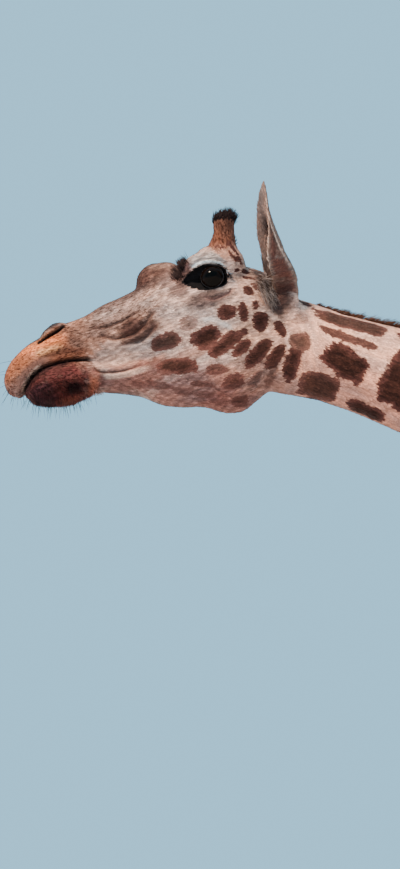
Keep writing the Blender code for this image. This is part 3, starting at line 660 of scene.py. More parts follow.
def lid_plane(h):
    """Places along the eye's long axis and above it, for head-frame points."""
    d = h[..., (0, 2)] - LID_MIDDLE
    return d @ LID_AXIS, d @ LID_UP


def opening(turn):
    """The outline between the lids: pointed in front, round behind."""
    c, s = np.cos(turn), np.sin(turn)
    sharp = 1.18 - 0.44 * c
    height = np.where(s > 0, 0.0290, 0.0262) * (1 + 0.10 * c)
    return 0.0015 + 0.052 * c, height * np.sign(s) * np.abs(s) ** sharp


def open_loop(mesh, side):
    """The vertices round the hole over one eye, in order. Stray faces in the hole are cleared first."""

    def rim_edges():
        near = [e for e in mesh.edges if e.is_boundary and e.verts[0].co.y * side > 0]
        return [e for e in near if abs(world_to_head(np.array(e.verts[0].co))[0] - LID_MIDDLE[0]) < RIM_REACH]

    while True:  # a face that hangs on by one corner would cross the loop
        rim = rim_edges()
        ends = [w for e in rim for w in e.verts]
        crossed = {w for w in ends if ends.count(w) > 2}
        if not crossed:
            break
        hanging = {f for w in crossed for f in w.link_faces if sum(e.is_boundary for e in f.edges) >= 2}
        bmesh.ops.delete(mesh, geom=list(hanging), context="FACES")
    loops, seen = [], set()
    for first in rim:
        if first in seen:
            continue
        loop, edge = [first.verts[0]], first
        while True:
            seen.add(edge)
            after = edge.other_vert(loop[-1])
            if after == loop[0]:
                break
            loop.append(after)
            edge = next(e for e in after.link_edges if e.is_boundary and e is not edge)
        loops.append(loop)
    return max(loops, key=len)


def fit_lids(mesh, side):
    """Swaps the skin round one eye for clean rings that rise over the eyeball and turn in behind it."""
    tree = BVHTree.FromBMesh(mesh)
    centres = world_to_head(np.array([f.calc_center_median() for f in mesh.faces]))
    u, v = lid_plane(centres)
    inside = (u / SOCKET_REACH[0]) ** 2 + (v / SOCKET_REACH[1]) ** 2 < 1
    inside &= side * centres[:, 1] > OFF_MIDDLE
    mesh.faces.ensure_lookup_table()
    bmesh.ops.delete(mesh, geom=[mesh.faces[i] for i in np.flatnonzero(inside)], context="FACES")
    loop = open_loop(mesh, side)
    eye_u, eye_v = lid_plane(np.array(EYE_SHOWN))

    def skin_depth(u, v):
        place = LID_MIDDLE + u * LID_AXIS + v * LID_UP
        origin = Vector(head_to_world((place[0], side * 0.20, place[1])))
        hit = tree.ray_cast(origin, Vector((0, -side, 0)))[0] or tree.find_nearest(origin)[0]
        return abs(hit.y)

    def ball_height(u, v, lift):
        """How far out the eyeball reaches, grown by lift, with a gentle skirt outside its own outline."""
        away = np.hypot(u - eye_u, v - eye_v)
        on_ball = np.minimum(away, BALL_SHOWN)
        skirt = 0.35 * np.maximum(away - BALL_SHOWN, 0)
        return EYE_SHOWN[1] + np.sqrt((EYE_RADIUS + lift) ** 2 - on_ball**2) - skirt

    def placed(u, v, depth):
        place = LID_MIDDLE + u[:, None] * LID_AXIS + v[:, None] * LID_UP
        return head_to_world(np.stack([place[:, 0], side * depth, place[:, 1]], axis=-1))

    # The hole's rim becomes a clean ellipse. Its vertices keep their turn about the middle, evened out.
    u, v = lid_plane(world_to_head(np.array([w.co for w in loop])))
    turn = np.unwrap(np.arctan2(v / SOCKET_REACH[1], u / SOCKET_REACH[0]))
    way = np.sign(turn[-1] - turn[0])
    even = way * 2 * math.pi * np.arange(len(loop)) / len(loop)
    drift = turn - even
    window = np.ones(2 * LID_EVEN + 1) / (2 * LID_EVEN + 1)
    drift = np.convolve(np.concatenate([drift[-LID_EVEN:], drift, drift[:LID_EVEN]]), window, mode="valid")
    turn, even = even + drift, even + drift.mean()
    u0, v0 = SOCKET_REACH[0] * np.cos(turn), SOCKET_REACH[1] * np.sin(turn)
    for w, place in zip(loop, placed(u0, v0, np.array([skin_depth(a, b) for a, b in zip(u0, v0)]))):
        w.co = place

    # Rings from there to the lids' edge, rising over the eyeball, and then the inner face behind the edge.
    rings = []
    for t in np.linspace(0, 1, LID_RINGS + 1)[1:]:
        share = 1 - (1 - t) ** 1.35
        edge_u, edge_v = opening(turn + (even - turn) * smoothstep(0, 0.4, t))
        ru, rv = u0 + (edge_u - u0) * share, v0 + (edge_v - v0) * share
        base = np.array([skin_depth(a, b) for a, b in zip(ru, rv)])
        over = ball_height(ru, rv, LID_LIFT)
        lid = over + LID_SOFT * np.logaddexp(0, (base - LID_SINK - over) / LID_SOFT)
        depth = base + (lid - base) * smoothstep(0.15, 0.95, t)
        rings.append(placed(ru, rv, depth))
    out_u, out_v, margin = ru, rv, depth
    for scale, sunk in LID_TURN:
        ru, rv = eye_u + (out_u - eye_u) * scale, eye_v + (out_v - eye_v) * scale
        rings.append(placed(ru, rv, np.minimum(margin, ball_height(ru, rv, 0)) - sunk))

    last = loop
    for ring in rings:
        ring = [mesh.verts.new(p) for p in ring]
        for j in range(len(loop)):
            n = (j + 1) % len(loop)
            mesh.faces.new((last[j], last[n], ring[n], ring[j]))
        last = ring
    mesh.faces.new(last)


def refine(mesh, names, reach):
    """Splits the faces that lie close to any of these paths."""
    mesh.verts.index_update()
    points = mirrored(world_to_head(np.array([v.co for v in mesh.verts])))
    near = np.zeros(len(points), bool)
    for name in names:
        some = near_box(points, PATHS[name], reach)
        away, _ = path_distance(points[some], PATHS[name])
        near[some[away < reach]] = True
    edges = [e for e in mesh.edges if near[e.verts[0].index] and near[e.verts[1].index]]
    bmesh.ops.subdivide_edges(mesh, edges=edges, cuts=1, use_grid_fill=True)
    mesh.verts.index_update()


# Strokes on the head, in its frame, on its left side.
PATHS = {
    "nostril": (
        (0.104, 0.052, 0.053), (0.122, 0.056, 0.058), (0.142, 0.057, 0.063), (0.160, 0.053, 0.069),
        (0.170, 0.048, 0.074),
    ),
    "mouth": (
        (0.028, 0.000, -0.050), (0.034, 0.020, -0.044), (0.053, 0.034, -0.029), (0.081, 0.040, -0.011),
        (0.115, 0.043, -0.002), (0.155, 0.041, -0.003), (0.192, 0.036, -0.009), (0.217, 0.034, -0.019),
    ),
    "mouth_tail": (
        (0.210, 0.046, -0.030), (0.216, 0.046, -0.048), (0.244, 0.048, -0.060), (0.282, 0.050, -0.066),
        (0.335, 0.052, -0.066),
    ),
    "face_crease": (
        (0.250, 0.056, 0.026), (0.280, 0.061, 0.010), (0.313, 0.068, 0.008), (0.345, 0.076, 0.018),
        (0.376, 0.083, 0.038),
    ),
    "nose_crease": (
        (0.234, 0.046, 0.054), (0.263, 0.054, 0.045), (0.300, 0.062, 0.046), (0.345, 0.071, 0.056),
    ),
    "low_crease": ((0.290, 0.063, -0.006), (0.331, 0.071, -0.011), (0.372, 0.082, 0.006)),
    "eye_bag": ((0.492, 0.104, 0.040), (0.520, 0.107, 0.024), (0.556, 0.106, 0.028), (0.574, 0.103, 0.044)),
    "lid_crease": (
        (0.486, 0.105, 0.112), (0.520, 0.112, 0.121), (0.556, 0.112, 0.112), (0.578, 0.106, 0.092),
    ),
    "jaw_crease": ((0.321, 0.034, -0.128), (0.389, 0.046, -0.145), (0.461, 0.058, -0.163)),
    "throat_crease": (
        (0.440, 0.030, -0.180), (0.496, 0.060, -0.188), (0.577, 0.058, -0.178), (0.639, 0.068, -0.156),
    ),
    "throat_fold": ((0.472, 0.016, -0.212), (0.508, 0.043, -0.204), (0.528, 0.062, -0.196)),
    "chin_crease": ((0.350, 0.020, -0.168), (0.420, 0.040, -0.176), (0.470, 0.050, -0.186)),
    "ear_to_jaw": (
        (0.600, 0.080, 0.060), (0.622, 0.082, 0.020), (0.640, 0.086, -0.040), (0.658, 0.078, -0.100),
        (0.668, 0.072, -0.166),
    ),
    "neck_cord": (
        (0.672, 0.072, -0.169), (0.724, 0.060, -0.237), (0.787, 0.064, -0.282), (0.850, 0.060, -0.345),
    ),
    "nose_strip": (
        (0.046, 0.040, 0.034), (0.068, 0.040, 0.051), (0.095, 0.040, 0.068), (0.128, 0.040, 0.081),
        (0.155, 0.040, 0.086), (0.185, 0.040, 0.084),
    ),
    "lip_orange": (
        (0.030, 0.030, 0.030), (0.073, 0.050, 0.050), (0.120, 0.060, 0.046), (0.175, 0.050, 0.044),
    ),
    "lip_light": ((0.085, 0.050, 0.026), (0.116, 0.060, 0.027), (0.160, 0.060, 0.024)),
    "nose_front": (
        (0.006, 0.010, -0.022), (0.020, 0.020, 0.000), (0.046, 0.040, 0.020), (0.078, 0.050, 0.027),
    ),
    "lip_shade": (
        (0.105, 0.050, 0.017), (0.140, 0.060, 0.017), (0.180, 0.050, 0.011), (0.212, 0.050, 0.000),
    ),
    "lip_edge": (
        (0.020, 0.010, -0.044), (0.034, 0.030, -0.027), (0.062, 0.040, -0.003), (0.095, 0.040, 0.009),
        (0.130, 0.040, 0.010),
    ),
    "lip_rim": (
        (0.032, 0.010, -0.046), (0.044, 0.030, -0.028), (0.074, 0.040, -0.007), (0.100, 0.050, 0.003),
    ),
    "corner_shade": ((0.230, 0.050, -0.046), (0.282, 0.050, -0.056), (0.345, 0.060, -0.056)),
    "corner_light": (
        (0.222, 0.050, -0.062), (0.244, 0.050, -0.070), (0.282, 0.050, -0.076), (0.345, 0.050, -0.077),
    ),
    "chin_edge": (
        (0.066, 0.040, -0.084), (0.110, 0.050, -0.096), (0.165, 0.050, -0.097), (0.200, 0.050, -0.072),
        (0.214, 0.050, -0.040),
    ),
    "chin_dark": ((0.132, 0.050, -0.062), (0.149, 0.050, -0.070), (0.172, 0.050, -0.066)),
    "chin_plum": ((0.140, 0.050, -0.042), (0.160, 0.050, -0.048), (0.180, 0.050, -0.046)),
    "mouth_shade": (
        (0.038, 0.020, -0.050), (0.058, 0.030, -0.034), (0.088, 0.040, -0.014), (0.118, 0.040, -0.008),
        (0.154, 0.040, -0.009), (0.194, 0.040, -0.015),
    ),
    "nostril_rim": ((0.098, 0.050, 0.064), (0.122, 0.050, 0.071), (0.145, 0.050, 0.077)),
    "cheek_ridge": (
        (0.467, 0.090, -0.012), (0.504, 0.090, -0.020), (0.529, 0.090, -0.039), (0.546, 0.090, -0.054),
    ),
    "jaw_strap": (
        (0.628, 0.080, -0.023), (0.644, 0.080, -0.048), (0.661, 0.080, -0.093), (0.659, 0.080, -0.126),
        (0.678, 0.070, -0.148),
    ),
    "ear_front": ((0.645, 0.050, 0.072), (0.648, 0.080, 0.020), (0.660, 0.090, -0.030)),
}
# Strokes cut into the skin, and mirrored: path, width, depth, rim beside it.
GROOVES = (
    ("nostril", 0.0032, 0.011, 0.0028),
    ("mouth", 0.0042, 0.0085, 0.0016),
    ("mouth_tail", 0.0036, 0.0048, 0.0022),
    ("face_crease", 0.0052, 0.0072, 0.0034),
    ("nose_crease", 0.0045, 0.0048, 0.0028),
    ("low_crease", 0.005, 0.004, 0.0024),
    ("eye_bag", 0.004, 0.0024, 0.002),
    ("lid_crease", 0.0032, 0.0022, 0.0012),
    ("jaw_crease", 0.005, 0.0028, 0.0016),
    ("throat_crease", 0.006, 0.0034, 0.002),
    ("throat_fold", 0.004, 0.003, 0.0016),
    ("chin_crease", 0.0045, 0.0024, 0.0012),
    ("ear_to_jaw", 0.008, 0.0042, 0.002),
    ("neck_cord", 0.012, 0.004, 0.0024),
)
# Soft pushes on the head: centre, reach, push along the normal. Mirrored.
PUSHES = (
    ((0.052, 0.040, 0.018), (0.050, 0.040, 0.032), 0.0030),  # upper lip's pad
    ((0.120, 0.050, -0.040), (0.070, 0.050, 0.030), 0.0020),  # lower lip
    ((0.110, 0.030, 0.088), (0.045, 0.060, 0.035), -0.0040),  # slope in front of the nostrils
    ((0.140, 0.050, 0.074), (0.045, 0.030, 0.014), 0.0045),  # upper lip of the nostril
    ((0.150, 0.056, 0.044), (0.050, 0.030, 0.014), 0.0035),  # and its lower lip
    ((0.612, 0.085, 0.214), (0.030, 0.030, 0.026), 0.0035),  # knob of the ossicone
    ((0.160, 0.050, 0.094), (0.040, 0.030, 0.022), 0.0020),  # wing of the nostril
    ((0.205, 0.055, 0.030), (0.040, 0.040, 0.050), -0.0040),  # hollow behind the lips
    ((0.300, 0.060, 0.085), (0.080, 0.030, 0.030), -0.0040),  # hollow beside the nose bone
    ((0.400, 0.080, 0.050), (0.090, 0.040, 0.016), 0.0050),  # facial crest
    ((0.400, 0.080, 0.008), (0.090, 0.040, 0.026), -0.0040),  # under the crest
    ((0.455, 0.090, 0.082), (0.030, 0.040, 0.022), -0.0030),  # in front of the eye
    ((0.600, 0.085, 0.072), (0.030, 0.040, 0.030), -0.0055),  # temple
    ((0.500, 0.080, -0.060), (0.090, 0.060, 0.055), 0.0045),  # chewing muscle
    ((0.440, 0.070, -0.100), (0.060, 0.050, 0.035), -0.0035),  # in front of it
    ((0.522, 0.105, 0.036), (0.040, 0.030, 0.012), 0.0030),  # bag under the eye
    ((0.466, 0.000, 0.150), (0.055, 0.090, 0.050), 0.0160),  # behind the forehead's bump
    ((0.545, 0.066, 0.160), (0.040, 0.050, 0.045), 0.0150),  # in front of the ossicone
)
RIB_RISE, RIB_SPACING = 0.0022, 0.085
# Soft pushes on the body, from the shoulder: centre, reach, push. Mirrored.
BODY_PUSHES = (
    ((-0.06, 0.24, 2.42), (0.10, 0.20, 0.42), 0.016),  # spine of the shoulder blade
    ((0.16, 0.26, 2.45), (0.10, 0.20, 0.36), -0.014),  # behind it
    ((-0.24, 0.18, 2.20), (0.14, 0.20, 0.16), 0.018),  # point of the shoulder
    ((0.13, 0.27, 1.93), (0.12, 0.16, 0.12), 0.014),  # elbow
    ((0.30, 0.28, 2.05), (0.16, 0.16, 0.30), -0.014),  # behind the elbow
    ((1.10, 0.30, 2.30), (0.16, 0.20, 0.30), -0.016),  # flank
    ((1.28, 0.20, 2.60), (0.12, 0.16, 0.10), 0.016),  # hip bone
    ((1.62, 0.14, 2.44), (0.10, 0.12, 0.12), 0.010),  # seat bone
    ((1.24, 0.26, 1.98), (0.12, 0.14, 0.22), 0.014),  # stifle
    ((1.45, 0.24, 2.15), (0.10, 0.12, 0.40), -0.008),  # thigh's furrow
)


def sculpt(obj):
    """Grooves, ridges and swellings, as moves along the skin's normals."""
    points, normals = points_of(obj), normals_of(obj)
    h = mirrored(world_to_head(points))
    t, _, reach, on_ear = ear_place(h, points)
    foot = smoothstep(0.02, 0.08, t) * (reach < 1.25) * (h[:, 1] > 0.06)
    on_ear = np.maximum(on_ear, foot)  # the ears are thin, so they are held still
    move = np.zeros(len(points))
    for centre, reach, push in PUSHES:
        move += push * nearness(h, centre, reach)
    for name, width, depth, rim in GROOVES:
        some = near_box(h, PATHS[name], 4 * width / SIDE_VIEW)
        away, along = path_distance(h[some], PATHS[name])
        strength = np.sqrt(np.clip(np.sin(math.pi * np.clip(along, 0.02, 0.98)), 0, 1))
        if name == "mouth":  # it runs on round the front of the lips
            strength = np.where(along < 0.5, 1, strength)
        cut = -depth * bell(away, 0, width) + rim * bell(away, 2 * width, width)
        move[some] += cut * strength
    local = from_shoulder(points)
    for centre, reach, push in BODY_PUSHES:
        move += push * nearness(local, centre, reach)
    ribs = nearness(local, (0.62, 0.30, 2.30), (0.42, 0.22, 0.42))
    across_ribs = local[:, 0] + 0.25 * (local[:, 2] - 2.3)
    move += RIB_RISE * ribs * np.sin(across_ribs * 2 * math.pi / RIB_SPACING)
    for end in ("fore", "hind"):
        move += leg_relief(points, end)
    move -= COAT_DEPTH * smoothstep(0.25, 0.6, h[:, 0])
    set_points(obj, points + (move * (1 - on_ear))[:, None] * normals)


def leg_relief(points, end):
    """Tendon grooves and the knobs of knee, hock and fetlock on one pair of legs."""
    move = np.zeros(len(points))
    z = points[:, 2]
    for side in SIDES:
        x, y, length, width = leg_line(end, side, z)
        along, out = (points[:, 0] - x) / length, (points[:, 1] - y) / width
        mine = (np.abs(along) < 1.3) & (np.abs(out) < 1.3) & (z < 1.6)
        outer = smoothstep(0.4, 0.9, np.abs(out))
        shank = smoothstep(0.30, 0.42, z) * fade(0.80, 0.90, z)
        tendon = -0.006 * shank * bell(along, 0.25, 0.22) * outer
        knob = 0.006 * bell(z, 0.285, 0.03) * smoothstep(0.3, 0.9, along)
        upper = smoothstep(0.95, 1.10, z) * fade(1.40, 1.55, z)
        groove = (-0.010 if end == "hind" else -0.004) * upper * bell(along, 0.35, 0.2) * outer
        joint = 1.05 if end == "fore" else 1.15
        dimple = -0.004 * bell(z, joint, 0.02) * bell(along, 0, 0.5) * smoothstep(0.6, 1, np.abs(out))
        move += np.where(mine, tendon + knob + groove + dimple, 0)
    return move


def ear_place(h, points):
    """On the ears: share of length, angle from the back over half the arc, depth in the wall, and how much
    a point is on an ear at all."""
    t_keys = np.linspace(0, 1, 60)
    x, y, z, deep, wide, arc, turn = sample(EAR, t_keys)
    side = np.where(points[:, 1] < 0, -1, 1)
    t = np.clip(np.interp(h[:, 2], z, t_keys), 0, 1)
    x, y, _, deep, wide, arc, turn = (np.interp(t, t_keys, row) for row in (x, y, z, deep, wide, arc, turn))
    lean = np.where(side < 0, EAR_LEAN[-1], EAR_LEAN[1])
    dx, dy = (h[:, 0] - x - lean * t) / deep, (h[:, 1] - y) / wide
    reach = np.hypot(dx, dy)
    angle = (np.degrees(np.arctan2(dy, dx)) - turn + 180) % 360 - 180
    on_ear = smoothstep(0.03, 0.07, h[:, 2]) * (reach < 1.35) * (h[:, 1] > 0.075)
    return t, angle / arc, reach, on_ear


def near_sockets(points):
    """Up to 0.5 where the finer patch round each eye meets the rest of the head."""
    h = mirrored(world_to_head(points))
    u, v = lid_plane(h)
    away = np.hypot(u / SOCKET_REACH[0], v / SOCKET_REACH[1])
    return 0.5 * fade(0.05, 0.16, np.abs(away - 1)) * (h[:, 1] > OFF_MIDDLE)


def near_seams(points):
    """Up to 0.5 where the three parts of the skin meet."""
    s, _ = along_neck(points)
    head_seam = fade(0.01, 0.03, np.abs(s - HEAD_SEAM))
    neck_seam = fade(0.03, 0.08, np.abs(s - NECK_SEAM))
    return 0.5 * np.maximum(head_seam, neck_seam) * (points[:, 0] < SHOULDER_X)


def make_skin():
    """Head, neck and body at three grains, joined edge to edge into one closed skin."""
    head_forms = [head_form(UPPER_HEAD), head_form(LOWER_JAW), neck_form(-0.10, 0.26), *swelling_forms()]
    head_forms += [ossicone_form(side) for side in SIDES] + [ear_form(side) for side in SIDES]
    head = join_forms("head_skin", head_forms)
    voxel_union(head, HEAD_GRAIN)
    relax(head, 34, head_blend)
    neck = join_forms("neck_skin", [neck_form(-0.10, 1.5)])
    voxel_union(neck, NECK_GRAIN)
    relax(neck, 60, lambda points: 0.1)
    body_forms = [neck_form(0.9, NECK[-1][0]), trunk_form(), tail_form()]
    body_forms += [leg_form(end, side) for end, side in STANCE]
    body = join_forms("body_skin", body_forms)
    voxel_union(body, BODY_GRAIN)
    relax(body, 30, body_blend)

    whole = bmesh.new()
    whole.from_mesh(head.data)
    cut_at(whole, HEAD_SEAM - SEAM_GAP, True)
    for side in SIDES:
        fit_lids(whole, side)
    refine(whole, ("nostril", "mouth"), 0.014)
    for obj, first, last in ((neck, HEAD_SEAM, NECK_SEAM), (body, NECK_SEAM, None)):
        part = bmesh.new()
        part.from_mesh(obj.data)
        cut_at(part, first + SEAM_GAP, False)
        if last:
            cut_at(part, last - SEAM_GAP, True)
        part.to_mesh(obj.data)
        part.free()
        whole.from_mesh(obj.data)
    for distance in (HEAD_SEAM, NECK_SEAM):
        bmesh.ops.bridge_loops(whole, edges=seam_edges(whole, distance))
    bmesh.ops.recalc_face_normals(whole, faces=whole.faces)
    data = bpy.data.meshes.new("skin")
    whole.to_mesh(data)
    whole.free()
    for obj in (head, neck, body):
        bpy.data.objects.remove(obj, do_unlink=True)
    skin = new_object("skin", data)

    relax(skin, 25, near_seams)
    relax(skin, 8, near_sockets)
    sculpt(skin)
    relax(skin, 2, lambda points: 0.2)
    data.shade_smooth()
    return skin


# ---------------------------------------------------------------- places on the skin
HEAD_LIE, HORN_LIE = (1.0, 0, -0.22), (0.1, 0, 1.0)  # which way hair points, in the head's frame
NECK_FALL = np.array([0, 0, -0.25])  # added to the neck's own backward direction
TRUNK_LIE, LEG_LIE = np.array([1, 0, -0.5]), np.array([0.12, 0, -1.0])
HAIR_ROWS = {"neck": 0.66, "trunk": 2.9, "leg": 6.4}  # keeps the lie of the hair going from part to part


def wobble(points, size, seed, octaves=3):
    """Smooth noise about -1 to 1, with features of about this size."""
    rng = np.random.default_rng(seed)
    total = np.zeros(len(points))
    for octave in range(octaves):
        for _ in range(4):
            way = rng.normal(size=3)
            way *= 2 * math.pi / (size * np.linalg.norm(way)) * 1.9**octave
            total += np.sin(points @ way + rng.uniform(0, 6.3)) * 0.62**octave
    return total / 3.2


def along_skin(normals, ways):
    """The directions of these ways that lie along the skin."""
    return unit(ways - normals * (ways * normals).sum(axis=1, keepdims=True))


class Place:
    """Where points of the skin lie: head frame, distance along the neck, and shares of each part."""

    def __init__(self, points):
        self.points = points
        self.h = mirrored(world_to_head(points))
        self.s, self.height = along_neck(points)
        self.local = from_shoulder(points)
        self.ear_t, self.ear_arc, self.ear_reach, self.ear = ear_place(self.h, points)
        self.head = fade(0.00, 0.10, self.s)
        self.trunk = smoothstep(1.75, 2.15, self.s)
        tail = smoothstep(1.78, 1.86, self.local[:, 0])
        self.leg = np.maximum(self.trunk * fade(1.60, 1.85, points[:, 2]), tail)
        keys = np.linspace(0, 1, 40)
        x, y, _, _ = sample(OSSICONE, keys)
        share = np.clip((self.h[:, 2] - 0.095) / 0.127, 0, 1)
        axis = [np.interp(share, keys, row) for row in (x, y)]
        off = np.hypot(self.h[:, 0] - axis[0], self.h[:, 1] - axis[1])
        self.horn = share * fade(0.042, 0.052, off) * (self.h[:, 2] > 0.095)

    def fur(self):
        """Coordinates along the lie of the hair, and two across it."""
        h, p, local = self.h, self.points, self.local
        head = np.stack([h[:, 0], p[:, 1], h[:, 2]], axis=1)
        up = np.maximum(self.ear, smoothstep(0.15, 0.4, self.horn))[:, None]
        head = head + up * (np.stack([h[:, 2] + 0.5, p[:, 1], h[:, 0]], axis=1) - head)
        neck = np.stack([self.s + HAIR_ROWS["neck"], p[:, 1], self.height], axis=1)
        trunk = np.stack([local[:, 0] + HAIR_ROWS["trunk"], p[:, 1], p[:, 2]], axis=1)
        leg = np.stack([HAIR_ROWS["leg"] - p[:, 2], p[:, 1], local[:, 0]], axis=1)
        made = neck + self.head[:, None] * (head - neck)
        made += self.trunk[:, None] * (trunk - made)
        return made + self.leg[:, None] * (leg - made)

    def lie(self, normals):
        """The way the hair points, along the skin."""
        head, up = (head_to_world(way) - head_to_world(np.zeros(3)) for way in (HEAD_LIE, HORN_LIE))
        rising = np.maximum(self.ear, smoothstep(0.1, 0.3, self.horn))[:, None]
        head = head + rising * (up - head)
        _, neck = neck_line(np.clip(self.s, 0, NECK[-1][0]))
        neck = neck + NECK_FALL
        way = neck + self.head[:, None] * (head - neck)
        way += self.trunk[:, None] * (TRUNK_LIE - way)
        way += self.leg[:, None] * (LEG_LIE - way)
        return along_skin(normals, way)


# ---------------------------------------------------------------- markings
# Patches listed on the head and upper neck, in the head's frame, left side: x, z, half-length and
# half-height in millimetres, tilt from the x axis in degrees, strength.
SPOTS = (
    (0.604, 0.026, 14, 14, 0, 1.0),
    (0.623, 0.033, 16, 6, -66, 0.9),
    (0.609, -0.014, 12, 8, 74, 1.0),
    (0.610, -0.051, 24, 19, 74, 1.0),
    (0.539, -0.013, 21, 19, 0, 1.0),
    (0.577, -0.022, 24, 12, 80, 1.0),
    (0.478, -0.052, 38, 26, 10, 1.0),
    (0.517, -0.080, 46, 18, 21, 1.0),
    (0.566, -0.064, 11, 9, 0, 1.0),
    (0.551, -0.100, 29, 14, 31, 1.0),
    (0.583, -0.121, 45, 17, 33, 1.0),
    (0.619, -0.139, 34, 15, 39, 1.0),
    (0.651, -0.166, 44, 18, 59, 1.0),
    (0.649, -0.080, 23, 12, -76, 1.0),
    (0.478, -0.131, 26, 13, -16, 0.9),
    (0.397, -0.095, 47, 20, -17, 1.0),
    (0.366, -0.100, 21, 7, -25, 0.8),
    (0.509, -0.170, 25, 16, 8, 1.0),
    (0.516, -0.208, 19, 17, 0, 0.9),
    (0.387, -0.031, 38, 21, 5, 0.95),
    (0.446, -0.010, 21, 17, 0, 0.6),
    (0.441, -0.150, 30, 8, -12, 0.8),
    (0.326, -0.114, 10, 13, 0, 0.65),
    (0.350, -0.128, 26, 9, -25, 0.65),
    (0.300, -0.104, 22, 8, -25, 0.65),
    (0.395, -0.152, 22, 9, -20, 0.65),
    (0.440, -0.172, 24, 10, -15, 0.65),
    (0.470, -0.198, 18, 9, 0, 0.65),
    (0.560, -0.176, 22, 12, 30, 0.65),
    (0.598, -0.178, 26, 10, 40, 0.65),
    (0.565, 0.149, 6, 4, 10, 1.0),
    (0.577, 0.142, 8, 4, -15, 1.0),
    (0.592, 0.147, 6, 5, 0, 1.0),
    (0.590, 0.164, 10, 4, 20, 0.8),
    (0.600, 0.136, 22, 5, -66, 1.0),
    (0.592, 0.116, 15, 5, -70, 1.0),
    (0.606, 0.103, 12, 6, -50, 1.0),
    (0.613, 0.080, 13, 6, -20, 1.0),
    (0.593, 0.083, 9, 5, -10, 1.0),
    (0.618, 0.060, 16, 5, -30, 1.0),
    (0.629, 0.090, 13, 5, -30, 1.0),
    (0.8135, -0.1045, 80, 23, -33, 0.95),
    (0.850, -0.127, 44, 22, -33, 0.95),
    (0.800, -0.1475, 73, 10, -38, 0.95),
    (0.769, -0.197, 57, 33, -52, 1.0),
    (0.697, -0.231, 46, 37, -30, 0.95),
    (0.788, -0.312, 47, 24, -46, 1.0),
    (0.896, -0.298, 72, 60, -40, 1.0),
    (0.950, -0.190, 48, 18, -42, 1.0),
    (0.915, -0.232, 35, 12, -42, 1.0),
    (0.685, -0.124, 24, 24, 0, 0.9),
    (0.705, -0.068, 17, 14, 0, 0.5),
    (0.726, -0.023, 19, 12, -60, 1.0),
)
SPOT_WALL = 0.07  # how far through the head a spot reaches
SPOTS_END = 0.33  # along the neck, where the cells take over
CELLS = (  # distance along the neck, spacing between patches
    (0.36, 0.125),
    (1.00, 0.175),
    (2.00, 0.230),
)
TRUNK_CELL, LEG_CELL, SHANK_CELL = 0.245, 0.150, 0.085
CELL_SOFT = 0.010  # rounds the corners of the patches
CELL_BENDS = ((0.20, 42, 0.016), (0.055, 52, 0.006))  # what bends their outlines: size, seed, strength
PALE_LINE = 0.013  # half the pale line between two patches on the neck
PLAIN_SHANK = (1.02, 1.12)  # heights on the fore and hind legs where the patches shrink away


def spot_distance(skin_tree, points):
    """Distance inside the nearest listed patch, and that patch's strength."""
    rng = np.random.default_rng(31)
    best = np.full(len(points), -1.0)
    strength = np.ones(len(points))
    edge = 0.10 * wobble(points, 0.035, 32) + 0.06 * wobble(points, 0.012, 33)
    for side in SIDES:
        for x, z, long, short, tilt, tone in SPOTS:
            if side > 0:  # the right side's are alike, not the same
                x, z = x + rng.uniform(-0.008, 0.008), z + rng.uniform(-0.007, 0.007)
                long, short = long * rng.uniform(0.86, 1.14), short * rng.uniform(0.86, 1.14)
                tilt += rng.uniform(-12, 12)
            start = Vector(head_to_world((x, side * 0.30, z)))
            hit, normal = skin_tree.ray_cast(start, Vector((0, -side, 0)))[:2]
            if hit is None:
                hit, normal = skin_tree.find_nearest(start)[:2]
            normal = np.array(normal)
            turn = math.radians(tilt) + HEAD_PITCH
            first = np.array([math.cos(turn), 0, math.sin(turn)])
            first = unit(first - normal * (first @ normal))
            second = np.cross(normal, first)
            away = points - np.array(hit)
            near = np.flatnonzero((away**2).sum(axis=1) < (0.0022 * long + 0.02) ** 2)  # twice its size
            away = away[near]
            sizes = (long / 1000, short / 1000, SPOT_WALL)
            parts = [np.abs(away @ way) / size for way, size in zip((first, second, normal), sizes)]
            square = 2.4 if x < 0.67 else 4.0  # those on the neck are squarer
            ratio = sum(part**square for part in parts) ** (1 / square) * (1 + edge[near])
            flat = np.linalg.norm(away, axis=1)
            inside = np.where(ratio < 0.05, short / 1000, flat * (1 - ratio) / np.maximum(ratio, 0.05))
            inside = np.clip(inside, -flat, short / 1000)
            better = inside > best[near]
            best[near] = np.where(better, inside, best[near])
            strength[near] = np.where(better, tone, strength[near])
    return best, strength


def cell_seeds(points, areas, spacing, seed):
    """Evenly scattered centres for the patches, by darts and then a few steps of relaxation."""
    rng = np.random.default_rng(seed)
    chosen = rng.choice(len(points), 26000, p=areas / areas.sum())
    kept, reach = [], []
    for i in chosen:
        if kept:
            away = np.linalg.norm(np.array(kept) - points[i], axis=1)
            if (away < 0.40 * (spacing[i] + np.array(reach))).any():
                continue
        kept.append(points[i])
        reach.append(spacing[i])
    centres = np.array(kept)
    for _ in range(3):
        near = nearest_centres(points[::3], centres, 1)[0][:, 0]
        for axis in range(3):
            weight = areas[::3]
            total = np.bincount(near, weight, len(centres))
            mean = np.bincount(near, weight * points[::3, axis], len(centres)) / np.maximum(total, 1e-12)
            centres[:, axis] += np.where(total > 0, 0.7 * (mean - centres[:, axis]), 0)
    return centres


